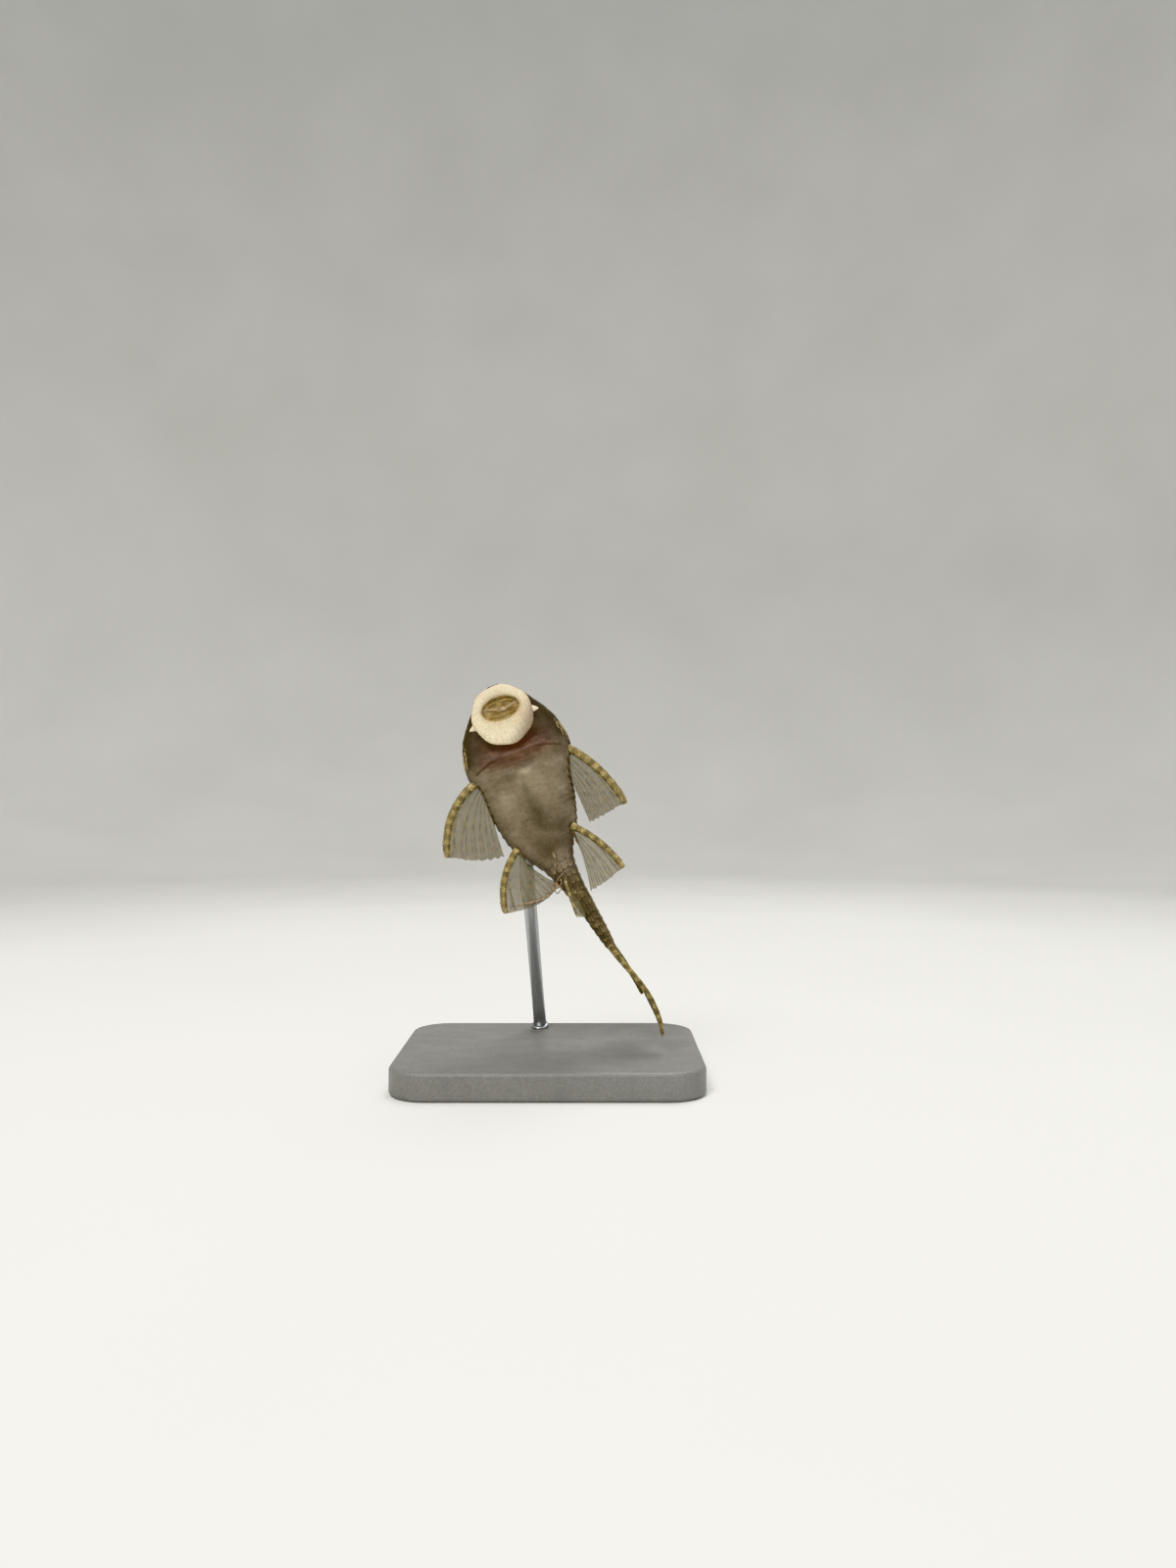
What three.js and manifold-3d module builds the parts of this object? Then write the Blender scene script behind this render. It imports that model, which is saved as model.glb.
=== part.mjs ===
// A young bristlenose pleco, life size, clinging belly forward with its head up, on a plain stand.
// Millimetres. +X is the viewer's right and the fish's left, +Y is the fish's back, +Z is up.
// The origin is the middle of the stand's underside.
//
// The fish is drawn round a midline: s is the distance behind the snout along it, and each
// section has three directions, tail (onward), side (the fish's left) and back.

import * as THREE from "three";
import { mergeVertices } from "three/addons/utils/BufferGeometryUtils.js";
import Module from "manifold-3d";

const wasm = await Module();
wasm.setup();

// Driving dimensions
const SNOUT = new THREE.Vector3(-8.1, -3, 56.8);
const GAP = 0.3;

// The midline: its turn from straight down, its lean away from the viewer and its roll, in degrees
const TURN = [[0, 20.5], [6, 18.5], [10.5, 20.5], [15, 16], [22, 22], [27, 30], [32, 33.5], [36, 31.5],
  [40, 31], [44, 38], [47, 36], [51, 26], [56, 7]];
const LEAN = [[0, 0], [20, 0], [34, 8], [56, 11]];
const ROLL = [[0, 0], [26, 0], [40, 2], [45, -2], [50, -6], [56, -7]];
const LINE_STEP = 0.25;
const LINE_END = 58;

// The body's sections: half width, belly line, back line, and how high its widest level sits
const HALF_WIDTH = [[0, 1.1], [0.5, 2.2], [1.4, 3.3], [3.4, 4.95], [4.8, 6], [6.4, 6.95], [8.8, 7.65],
  [10.6, 7.9], [11.8, 7.8], [13, 7], [14.6, 6.5], [18, 6.2], [21.2, 5.5], [23, 4.9], [25.2, 3.5],
  [28, 2.1], [33, 1.25], [38.2, 0.85], [41.5, 0.6]];
const BELLY = [[0, -1.9], [4, -2.2], [8, -2.5], [10.5, -3.1], [15, -3.3], [21, -3.1], [26, -2.7],
  [33, -2.4], [38.5, -2.3], [41.5, -2.4]];
const BACK = [[0, -1], [1.5, -0.1], [5, 1.7], [8, 2.8], [11, 3.7], [15, 4.4], [19, 4.8], [24, 4.3],
  [28, 3.6], [33, 2.8], [38, 2.4], [41.5, 2.5]];
const WIDEST = [[0, 0.35], [10, 0.3], [22, 0.34], [30, 0.48], [41.5, 0.5]];
const BELLY_SQUARENESS = 2.9;
const BACK_SQUARENESS = 2.15;

// The parting between head and torso leans back over the gills, so the head is longer on top
const HEAD_END = 10.5;
const SHEAR = [[3, 0], [HEAD_END, 0.5], [21, 0]];
const TORSO_END = 26.4;
const BODY_END = 41.4;
const HEAD_RINGS = 16;

// Bony plates: five rows on each flank, over all but the naked belly
const PLATE_COUNT = 25;
const PLATE_START = 11.2;
const PLATE_PITCH = (BODY_END - PLATE_START) / PLATE_COUNT;
const PLATE_RISE = 0.17;
const PLATE_GROOVE = 0.12;
const ROWS_ROUND = 10;
const ARMOUR_EDGE = -26;
const POINTS_ON_ROW = [0, 0.3, 0.7];
const BELLY_POINTS = 8;

// Eyes, with the bony rim that lifts round them, and the nostrils ahead of them
const EYE = { s: 7.9, angle: 54, radius: 1.2, sunk: 0.5 };
const EYE_RIM = { height: 0.45, width: 1.5 };
const NOSTRIL = { s: 6.2, angle: 68, radius: 0.42, flap: 0.75 };

// The sucker mouth
const DISC = { s: 4.38, radius: 4.4, back: -1.6, face: -3.85 };
const MOUTH = { s: 3.35, halfWidth: 2.65, halfHeight: 1.5, floor: -3.05 };
const DISC_SIDES = 32;
const BARBEL = { s: 4.7, length: 0.95, radius: 0.6 };
const TEETH = { inRow: 9, radius: 0.17, length: 0.62 };

// Short snout tentacles of a young fish, and the spines of the cheek
const TENTACLES = { count: 9, radius: 0.36, shortest: 0.5, longest: 0.9 };
const CHEEK_SPINES = { count: 4, s: 7.9, angle: -18, radius: 0.26, length: 0.8 };
const PAPILLA = { s: 24.6, length: 1.7, radius: 0.55 };

// Fins
const MEMBRANE = 0.5;
const RAY_RISE = 0.14;
const PECTORAL = { s: 11.7, side: 6.1, level: -1.5, base: 2.2, rays: 6, rows: 9, spine: [0.62, 0.44] };
const PECTORAL_LEFT = { name: "pectoral_fin_left", sign: 1, ahead: 0.9, from: 48, to: 9, inner: [4, 4],
  length: 13.4, innerLength: 10, drop: 0.7 };
const PECTORAL_RIGHT = { name: "pectoral_fin_right", sign: -1, ahead: -0.3, from: 76, to: 9, inner: [7, 1],
  length: 13, innerLength: 9.8, drop: 0.7 };
const PELVIC = { s: 22.9, side: 4.2, level: -2.2, base: 1.9, rays: 5, rows: 8, spine: [0.5, 0.38] };
const PELVIC_LEFT = { name: "pelvic_fin_left", sign: 1, ahead: 0.1, from: 44, to: 12, inner: [0, -15],
  length: 9.8, innerLength: 8.2, drop: 0.5 };
const PELVIC_RIGHT = { name: "pelvic_fin_right", sign: -1, ahead: 0, from: 60, to: 8, inner: [-24, -44],
  length: 9.8, innerLength: 5.8, drop: 0.5 };
const DORSAL = { from: 19, to: 27.6, rays: 7, rows: 8, spine: [0.5, 0.3], length: [11.4, 5.6],
  rise: [58, 34], sweep: 8 };
const ADIPOSE = { from: 34.3, to: 36.9, rise: 42, length: 2.6, spine: [0.42, 0.3] };
const ANAL = { from: 28.2, to: 30.8, rays: 4, rows: 6, spine: [0.36, 0.28], length: [6.4, 4.4],
  rise: [24, 16], tilt: 38 };
const CAUDAL = { rays: 15, rows: 6, spine: [0.44, 0.3], rootHalf: 1.95, upper: [5.6, 12.4],
  lower: [6.4, 14.8], notch: 3.4 };

// The stand
const BASE = { width: 44, depth: 34, height: 4, corner: 5, bevel: 0.6 };
const ROD = { radius: 1, footX: -2, footY: 13, s: 15.8, angle: 109 };

const BROWN = new THREE.MeshStandardMaterial({ color: 0x4b4523, roughness: 0.62 });
const PALE = new THREE.MeshStandardMaterial({ color: 0xd9d6a8, roughness: 0.45 });
const FIN = new THREE.MeshStandardMaterial({ color: 0x77813f, roughness: 0.5 });
const DARK = new THREE.MeshStandardMaterial({ color: 0x0c0c0a, roughness: 0.12 });
const STAND = new THREE.MeshStandardMaterial({ color: 0x787773, roughness: 0.55 });
const STEEL = new THREE.MeshStandardMaterial({ color: 0xb4b6b8, roughness: 0.3, metalness: 1 });

const radians = THREE.MathUtils.degToRad;
const mix = THREE.MathUtils.lerp;

let seed = 20;
function random() {
  seed = (seed * 16807) % 2147483647;
  return seed / 2147483647;
}

// A smooth line through a table of [place, value], which never swings past its points
function follow(table, at) {
  const last = table.length - 1;
  if (at <= table[0][0]) return table[0][1];
  if (at >= table[last][0]) return table[last][1];
  const chord = (k) => (table[k + 1][1] - table[k][1]) / (table[k + 1][0] - table[k][0]);
  const slope = (k) => {
    if (k === 0) return chord(0);
    if (k === last) return chord(last - 1);
    const before = chord(k - 1);
    const after = chord(k);
    return before * after <= 0 ? 0 : (2 * before * after) / (before + after);
  };
  const k = table.findIndex(([place]) => place > at) - 1;
  const step = table[k + 1][0] - table[k][0];
  const u = (at - table[k][0]) / step;
  const leaving = (2 * u ** 3 - 3 * u ** 2 + 1) * table[k][1] + (u ** 3 - 2 * u ** 2 + u) * step * slope(k);
  const arriving = (3 * u ** 2 - 2 * u ** 3) * table[k + 1][1] + (u ** 3 - u ** 2) * step * slope(k + 1);
  return leaving + arriving;
}

function directionsAt(s) {
  const turn = radians(follow(TURN, s));
  const lean = radians(follow(LEAN, s));
  const roll = radians(follow(ROLL, s));
  const flat = Math.cos(lean);
  const tail = new THREE.Vector3(Math.sin(turn) * flat, Math.sin(lean), -Math.cos(turn) * flat);
  const level = new THREE.Vector3(Math.cos(turn), 0, Math.sin(turn));
  const upright = new THREE.Vector3().crossVectors(level, tail);
  const back = upright.clone().multiplyScalar(Math.cos(roll)).addScaledVector(level, Math.sin(roll));
  const side = level.clone().multiplyScalar(Math.cos(roll)).addScaledVector(upright, -Math.sin(roll));
  return { tail, side, back };
}

const midline = [SNOUT.clone()];
for (let s = 0; s < LINE_END; s += LINE_STEP) {
  const onward = directionsAt(s + LINE_STEP / 2).tail;
  midline.push(midline.at(-1).clone().addScaledVector(onward, LINE_STEP));
}

// The point at s along the midline, then `side` to the fish's left and `back` towards its back
function pointAt(s, side, back) {
  const directions = directionsAt(s);
  const k = THREE.MathUtils.clamp(Math.floor(s / LINE_STEP), 0, midline.length - 2);
  const point = midline[k].clone().addScaledVector(directionsAt(s).tail, s - k * LINE_STEP);
  return point.addScaledVector(directions.side, side).addScaledVector(directions.back, back);
}

// How far the plates stand out: each rises to its rear edge and is edged by a groove
function plateRelief(s, angle) {
  const span = 180 - 2 * ARMOUR_EDGE;
  const round = ((angle - ARMOUR_EDGE + 360) % 360) / span;
  if (round > 1 || s < PLATE_START - 0.01) return 0;
  const along = (s - PLATE_START) / PLATE_PITCH;
  const across = round * ROWS_ROUND;
  const groove = Math.abs(2 * (across - Math.floor(across)) - 1) ** 4;
  return PLATE_RISE * ((along + 0.001) % 1) - PLATE_GROOVE * groove;
}

function eyeRim(s, angle) {
  const half = follow(HALF_WIDTH, s);
  const away = Math.hypot(s - EYE.s, (half * radians(Math.abs(angle - 90) - (90 - EYE.angle))));
  return angle > 0 && angle < 180 ? EYE_RIM.height * Math.exp(-((away / EYE_RIM.width) ** 2)) : 0;
}

// Side and back of a section's edge, at an angle that runs from the fish's left over its back
function edgeAt(s, angle, grow) {
  const halfWidth = follow(HALF_WIDTH, s) + grow;
  const low = follow(BELLY, s) - grow;
  const high = follow(BACK, s) + grow;
  const middle = mix(low, high, follow(WIDEST, s));
  const across = Math.cos(radians(angle));
  const up = Math.sin(radians(angle));
  const squareness = up > 0 ? BACK_SQUARENESS : BELLY_SQUARENESS;
  const reach = (Math.abs(across) ** squareness + Math.abs(up) ** squareness) ** (-1 / squareness);
  return [halfWidth * reach * across, middle + (up > 0 ? high - middle : middle - low) * reach * up];
}

function skinAt(s, angle, grow = 0, ahead = 0) {
  const height = edgeAt(s, angle, grow)[1] - follow(BELLY, s);
  const place = s + follow(SHEAR, s) * height;
  const outward = grow + plateRelief(s, angle) + eyeRim(s, angle);
  const [side, back] = edgeAt(place, angle, outward);
  return pointAt(place - ahead, side, back);
}

function outwardAt(s, angle) {
  const along = skinAt(s + 0.3, angle).sub(skinAt(s - 0.3, angle));
  const round = skinAt(s, angle + 4).sub(skinAt(s, angle - 4));
  return new THREE.Vector3().crossVectors(along, round).normalize();
}

function geometryFrom(points, triangles) {
  const geometry = new THREE.BufferGeometry();
  geometry.setAttribute("position", new THREE.Float32BufferAttribute(points.flatMap((p) => p.toArray()), 3));
  geometry.setIndex(volumeOf(points, triangles) < 0 ? triangles.reverse() : triangles);
  return geometry;
}

function volumeOf(points, triangles) {
  let six = 0;
  for (let k = 0; k < triangles.length; k += 3) {
    const [a, b, c] = [0, 1, 2].map((n) => points[triangles[k + n]]);
    six += a.dot(new THREE.Vector3().crossVectors(b, c));
  }
  return six / 6;
}

// A closed solid through rings of equal count, capped at both ends
function loft(rings) {
  const count = rings[0].length;
  const points = rings.flat();
  const triangles = [];
  for (let ring = 0; ring + 1 < rings.length; ring++) {
    for (let k = 0; k < count; k++) {
      const a = ring * count + k;
      const b = ring * count + ((k + 1) % count);
      triangles.push(a, b, a + count, b, b + count, a + count);
    }
  }
  const middleOf = (ring) => ring.reduce((sum, p) => sum.add(p), new THREE.Vector3()).divideScalar(count);
  const first = points.push(middleOf(rings[0])) - 1;
  const last = points.push(middleOf(rings.at(-1))) - 1;
  const base = (rings.length - 1) * count;
  for (let k = 0; k < count; k++) {
    const next = (k + 1) % count;
    triangles.push(first, next, k, last, base + k, base + next);
  }
  return geometryFrom(points, triangles);
}

function solid(geometry) {
  const plain = geometry.clone();
  plain.deleteAttribute("normal");
  plain.deleteAttribute("uv");
  const merged = mergeVertices(plain, 1e-4);
  const vertProperties = new Float32Array(merged.attributes.position.array);
  const triVerts = new Uint32Array(merged.index.array);
  return new wasm.Manifold(new wasm.Mesh({ numProp: 3, vertProperties, triVerts }));
}

// The largest closed surface of a solid, as a geometry
function largest(manifold) {
  const pieces = manifold.decompose();
  const piece = pieces.reduce((best, next) => (next.volume() > best.volume() ? next : best));
  const mesh = piece.getMesh();
  const geometry = new THREE.BufferGeometry();
  geometry.setAttribute("position", new THREE.Float32BufferAttribute(mesh.vertProperties, 3));
  geometry.setIndex([...mesh.triVerts]);
  return geometry;
}

const model = new THREE.Group();

function node(name, manifold, material) {
  const mesh = new THREE.Mesh(largest(manifold), material);
  mesh.name = name;
  model.add(mesh);
}

// A tapered, bent horn: tentacles, barbels, teeth and spines
function horn(root, direction, bend, length, radius, tip, sides = 6, steps = 3) {
  const way = direction.clone().normalize();
  const beside = bend.lengthSq() ? bend : new THREE.Vector3(0.2, 1, 0.3);
  const across = new THREE.Vector3().crossVectors(way, beside);
  across.normalize();
  const other = new THREE.Vector3().crossVectors(way, across);
  const rings = [];
  for (let step = 0; step <= steps; step++) {
    const t = step / steps;
    const middle = root.clone().addScaledVector(way, length * t).addScaledVector(bend, length * t * t);
    const size = mix(radius, tip, t ** 1.5);
    rings.push(Array.from({ length: sides }, (_, k) => {
      const turn = (2 * Math.PI * k) / sides;
      return middle.clone()
        .addScaledVector(across, size * Math.cos(turn))
        .addScaledVector(other, size * Math.sin(turn));
    }));
  }
  return solid(loft(rings));
}

// Body
const armourSpan = 180 - 2 * ARMOUR_EDGE;
const ringAngles = [];
for (let row = 0; row < ROWS_ROUND; row++) {
  for (const part of POINTS_ON_ROW) {
    ringAngles.push(ARMOUR_EDGE + ((row + part) / ROWS_ROUND) * armourSpan);
  }
}
for (let k = 0; k <= BELLY_POINTS; k++) {
  ringAngles.push(ARMOUR_EDGE + armourSpan + (k / (BELLY_POINTS + 1)) * (360 - armourSpan));
}

function ringAt(s, grow, ahead = 0) {
  return ringAngles.map((angle) => skinAt(s, angle, grow, ahead));
}

function headPlaces() {
  return Array.from({ length: HEAD_RINGS }, (_, k) => (HEAD_END - GAP) * (k / (HEAD_RINGS - 1)) ** 1.25);
}

function platePlaces(from, to) {
  const places = [from];
  for (let plate = 0; plate < PLATE_COUNT; plate++) {
    const front = PLATE_START + plate * PLATE_PITCH;
    places.push(front, front + 0.9 * PLATE_PITCH);
  }
  return [...places.filter((s, k) => k === 0 || (s > from + 0.2 && s < to - 0.2)), to];
}

function bodyPiece(places, grow = 0) {
  return solid(loft(places.map((s) => ringAt(s, grow))));
}

const grownRings = [...headPlaces(), ...platePlaces(HEAD_END, BODY_END)].map((s) => ringAt(s, GAP));
grownRings[0] = ringAt(0, GAP, GAP);
const around = solid(loft(grownRings));

function ball(centre, radius, sides = 12) {
  return solid(new THREE.SphereGeometry(radius, sides, Math.round(sides * 0.6))
    .rotateX(Math.PI / 2)
    .translate(...centre.toArray()));
}

const bothSides = [["left", 1], ["right", -1]];
const mirrorAngle = (angle, sign) => (sign > 0 ? angle : 180 - angle);

function eyeCentre(sign) {
  const angle = mirrorAngle(EYE.angle, sign);
  return skinAt(EYE.s, angle).addScaledVector(outwardAt(EYE.s, angle), -EYE.sunk);
}

function nostril(head, sign) {
  const angle = mirrorAngle(NOSTRIL.angle, sign);
  const outward = outwardAt(NOSTRIL.s, angle);
  const flapAt = NOSTRIL.s + NOSTRIL.radius;
  const tail = directionsAt(NOSTRIL.s).tail;
  const flap = horn(skinAt(flapAt, angle).addScaledVector(outward, -0.4), outward, tail.multiplyScalar(-0.2),
    0.4 + NOSTRIL.flap, 0.42, 0.25, 5, 2);
  const pit = ball(skinAt(NOSTRIL.s - 0.1, angle), NOSTRIL.radius, 8);
  return head.add(flap).subtract(pit);
}

function tentacles(head) {
  const { count, radius, shortest, longest } = TENTACLES;
  for (let k = 0; k < count; k++) {
    const across = mix(-1, 1, (k + 0.25 + 0.5 * random()) / count);
    const angle = 90 - 62 * across;
    const s = 0.7 + 0.7 * across ** 2;
    const directions = directionsAt(s);
    const outward = outwardAt(s, angle).addScaledVector(directions.tail, -0.7);
    const root = skinAt(s, angle).addScaledVector(outward.normalize(), -0.5);
    const length = mix(longest, shortest, Math.abs(across)) * (0.85 + 0.3 * random()) + 0.5;
    head = head.add(horn(root, outward, directions.tail.multiplyScalar(-0.1), length, radius, 0.2, 5, 2));
  }
  return head;
}

function cheekSpines(head, sign) {
  for (let k = 0; k < CHEEK_SPINES.count; k++) {
    const angle = mirrorAngle(CHEEK_SPINES.angle - 6 * (k % 2), sign);
    const s = CHEEK_SPINES.s + 0.28 * k - 0.5;
    const directions = directionsAt(s);
    const way = directions.side.clone().multiplyScalar(0.8 * sign).addScaledVector(directions.tail, 0.8);
    const root = skinAt(s, angle).addScaledVector(directions.side, -0.5 * sign);
    const length = CHEEK_SPINES.length * (0.75 + 0.35 * random()) + 0.5;
    const bend = directions.tail.multiplyScalar(-0.25);
    head = head.add(horn(root, way, bend, length, CHEEK_SPINES.radius, 0.1, 5, 2));
  }
  return head;
}

function makeHead() {
  let head = tentacles(bodyPiece(headPlaces()));
  for (const [, sign] of bothSides) {
    head = cheekSpines(nostril(head, sign), sign);
    head = head.subtract(ball(eyeCentre(sign), EYE.radius + GAP));
  }
  node("head", head, BROWN);
}

function makeTorso() {
  const directions = directionsAt(PAPILLA.s);
  const root = pointAt(PAPILLA.s, 0, follow(BELLY, PAPILLA.s) + 0.5);
  const way = directions.tail.clone().multiplyScalar(0.6).addScaledVector(directions.back, -0.8);
  const bend = directions.tail.multiplyScalar(0.2);
  const papilla = horn(root, way, bend, PAPILLA.length, PAPILLA.radius, 0.25, 7);
  node("torso", bodyPiece(platePlaces(HEAD_END, TORSO_END - GAP)).add(papilla), BROWN);
}

function makeTail() {
  node("tail", bodyPiece(platePlaces(TORSO_END, BODY_END - GAP)), BROWN);
}

// The sucker: a fleshy ring round the mouth, cut to lie on the head, with teeth and two barbels
function makeDisc() {
  const directions = directionsAt(DISC.s);
  const centre = pointAt(DISC.s, 0, 0);
  const discPoint = (along, side, level) => centre.clone()
    .addScaledVector(directions.tail, along)
    .addScaledVector(directions.side, side)
    .addScaledVector(directions.back, level);
  const mouthAlong = MOUTH.s - DISC.s;
  const crest = DISC.face;
  const profile = [[0, MOUTH.floor, 0.55], [0, MOUTH.floor, 0.95], [0.1, crest + 0.35, 1],
    [0.3, crest + 0.08, 1], [0.62, crest, 1], [0.86, crest + 0.12, 1], [0.97, crest + 0.42, 1],
    [1, crest + 0.8, 1], [0.96, DISC.back, 1]];
  const rings = profile.map(([out, level, within]) => Array.from({ length: DISC_SIDES }, (_, k) => {
    const turn = (2 * Math.PI * k) / DISC_SIDES;
    const [ahead, aside] = [Math.cos(turn), Math.sin(turn)];
    const along = mix(mouthAlong + MOUTH.halfHeight * within * ahead, DISC.radius * ahead, out);
    const side = mix(MOUTH.halfWidth * within * aside, DISC.radius * aside, out);
    return discPoint(along, side, level);
  }));
  let disc = solid(loft(rings));
  for (const [, sign] of bothSides) {
    const root = discPoint(BARBEL.s - DISC.s, sign * (DISC.radius - 0.6), -3);
    const way = directions.side.clone().multiplyScalar(sign).addScaledVector(directions.tail, 0.25);
    const bend = directions.back.clone().multiplyScalar(-0.12);
    disc = disc.add(horn(root, way, bend, BARBEL.length + 0.6, BARBEL.radius, 0.14, 7, 4));
  }
  for (const jaw of [-1, 1]) {
    for (let tooth = 0; tooth < TEETH.inRow; tooth++) {
      const across = mix(-0.72, 0.72, tooth / (TEETH.inRow - 1)) * MOUTH.halfWidth;
      const inset = MOUTH.halfHeight * Math.sqrt(1 - (across / MOUTH.halfWidth) ** 2) - 0.2;
      const root = discPoint(mouthAlong + jaw * inset, across, MOUTH.floor + 0.3);
      const way = directions.back.clone().multiplyScalar(-1).addScaledVector(directions.tail, -0.25 * jaw);
      disc = disc.add(horn(root, way, new THREE.Vector3(), TEETH.length + 0.3, TEETH.radius, 0.07, 4, 1));
    }
  }
  node("oral_disc", disc.subtract(around), PALE);
}

function makeEyes() {
  for (const [word, sign] of bothSides) node(`eye_${word}`, ball(eyeCentre(sign), EYE.radius, 14), DARK);
}

// Fins. place(v, t) is the fin's middle surface, v across its rays from the spine, t out along them.
// Both faces are split into triangles alike, and the spine and rays are thicker stretches of them.
function fin({ place, rays, rows, spine, twoSpines = false }) {
  const spineSize = (t) => mix(spine[0], spine[1], t) * (t > 0.99 ? 0.6 : 1);
  const column = (v, offset, half, reach = 1) => ({ v, offset, half, reach });
  const roundHalf = (x) => (t) => spineSize(t) * Math.sqrt(1 - x * x) + 0.02;
  const flatHalf = () => MEMBRANE / 2;
  const rayHalf = (t) => MEMBRANE / 2 + RAY_RISE * (1 - 0.6 * t);
  const columns = [-0.97, -0.6, 0, 0.6].map((x) => column(0, x, roundHalf(x)));
  columns.push(column(0, 1, flatHalf));
  for (let ray = 1; ray <= rays; ray++) {
    columns.push(column((ray - 0.5) / rays, 1, flatHalf, 0.965));
    if (ray < rays || !twoSpines) columns.push(column(ray / rays, 1, rayHalf));
  }
  if (twoSpines) {
    columns.push(column(1, -1, flatHalf));
    for (const x of [-0.6, 0, 0.6, 0.97]) columns.push(column(1, x, roundHalf(x)));
  }
  const middle = columns.map(({ v, offset, reach }) => Array.from({ length: rows + 1 }, (_, row) => {
    const t = (row / rows) * reach;
    const edge = twoSpines && v > 0.5 ? 1 : 0;
    const step = edge ? -0.1 : 0.1;
    const onward = place(edge, Math.min(t + 0.05, 1.05)).sub(place(edge, t)).normalize();
    const inward = place(edge + step, t).sub(place(edge, t));
    inward.addScaledVector(onward, -inward.dot(onward)).normalize().multiplyScalar(edge ? -1 : 1);
    const away = Math.abs(v - edge);
    const shift = away === 0 ? offset : Math.max(0, 1 - (twoSpines ? 3 : 1) * away) * (edge ? -1 : 1);
    return place(v, t).addScaledVector(inward, shift * spineSize(t));
  }));
  const last = columns.length - 1;
  const front = [];
  const rear = [];
  for (let c = 0; c <= last; c++) {
    for (let row = 0; row <= rows; row++) {
      const across = middle[Math.min(c + 1, last)][row].clone().sub(middle[Math.max(c - 1, 0)][row]);
      const along = middle[c][Math.min(row + 1, rows)].clone().sub(middle[c][Math.max(row - 1, 0)]);
      const normal = across.cross(along).normalize();
      const half = columns[c].half(row / rows);
      front.push(middle[c][row].clone().addScaledVector(normal, half));
      rear.push(middle[c][row].clone().addScaledVector(normal, -half));
    }
  }
  const points = [...front, ...rear];
  const triangles = [];
  const number = (c, row) => c * (rows + 1) + row;
  const other = front.length;
  for (let c = 0; c < last; c++) {
    for (let row = 0; row < rows; row++) {
      const [a, b, d, e] = [number(c, row), number(c + 1, row), number(c, row + 1), number(c + 1, row + 1)];
      triangles.push(a, b, e, a, e, d, a + other, e + other, b + other, a + other, d + other, e + other);
    }
  }
  const border = [];
  for (let c = 0; c < last; c++) border.push(number(c, 0));
  for (let row = 0; row < rows; row++) border.push(number(last, row));
  for (let c = last; c > 0; c--) border.push(number(c, rows));
  for (let row = rows; row > 0; row--) border.push(number(0, row));
  border.forEach((a, k) => {
    const b = border[(k + 1) % border.length];
    triangles.push(a, a + other, b, b, a + other, b + other);
  });
  return solid(geometryFrom(points, triangles));
}

// How far a line of this length goes ahead and aside as it turns evenly from one heading to another
function arc(length, from, to, t) {
  const start = radians(from);
  const turned = radians(to - from) * t || 1e-6;
  const scale = (length * t) / turned;
  const end = start + turned;
  return [scale * (Math.sin(end) - Math.sin(start)), scale * (Math.cos(start) - Math.cos(end))];
}

// A paired fin, spread beside the body: its spine leads and its rays fan in behind it
function pairedFin(root, { name, sign, ahead: forward, from, to, inner, length, innerLength, drop }) {
  const place = (v, t) => {
    const s = root.s - forward + root.base * v;
    const directions = directionsAt(root.s);
    const bend = v ** 0.75;
    const reach = mix(length, innerLength, bend);
    const [ahead, aside] = arc(reach, mix(from, inner[0], bend), mix(to, inner[1], bend), t);
    const level = root.level - drop * t + 0.35 * Math.sin(Math.PI * v) * t ** 2;
    return pointAt(s, sign * (root.side - 0.15 * v), level)
      .addScaledVector(directions.tail, ahead)
      .addScaledVector(directions.side, sign * aside);
  };
  node(name, fin({ place, ...root }).subtract(around), FIN);
}

// A fin on the midline of the back or belly, which rises from the body and sweeps to the tail
function makeDorsal() {
  const place = (v, t) => {
    const s = mix(DORSAL.from, DORSAL.to, v);
    const rise = mix(DORSAL.rise[0], DORSAL.rise[1], v);
    const length = mix(DORSAL.length[0], DORSAL.length[1], v ** 1.3);
    const [ahead, up] = arc(length + 0.9, rise, rise - DORSAL.sweep, t);
    const directions = directionsAt(s);
    const wave = 0.25 * Math.sin(Math.PI * v) * t;
    return pointAt(s, wave, follow(BACK, s) - 0.9)
      .addScaledVector(directions.tail, ahead)
      .addScaledVector(directions.back, up);
  };
  node("dorsal_fin", fin({ place, ...DORSAL }).subtract(around), FIN);
}

function makeAdipose() {
  const place = (v, t) => {
    const s = mix(ADIPOSE.from, ADIPOSE.to, v);
    const length = mix(ADIPOSE.length, 1.1, v);
    const directions = directionsAt(s);
    const [ahead, up] = arc(length + 0.6, ADIPOSE.rise, ADIPOSE.rise - 20, t);
    return pointAt(s, 0, follow(BACK, s) - 0.6)
      .addScaledVector(directions.tail, ahead)
      .addScaledVector(directions.back, up);
  };
  node("adipose_fin", fin({ place, rays: 2, rows: 3, spine: ADIPOSE.spine }).subtract(around), FIN);
}

function makeAnal() {
  const place = (v, t) => {
    const s = mix(ANAL.from, ANAL.to, v);
    const rise = mix(ANAL.rise[0], ANAL.rise[1], v);
    const [ahead, down] = arc(mix(ANAL.length[0], ANAL.length[1], v) + 0.7, rise, rise * 0.7, t);
    const directions = directionsAt(s);
    return pointAt(s, 0, follow(BELLY, s) + 0.6)
      .addScaledVector(directions.tail, ahead)
      .addScaledVector(directions.back, -down * Math.cos(radians(ANAL.tilt)))
      .addScaledVector(directions.side, -down * Math.sin(radians(ANAL.tilt)));
  };
  node("anal_fin", fin({ place, ...ANAL }).subtract(around), FIN);
}

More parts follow.
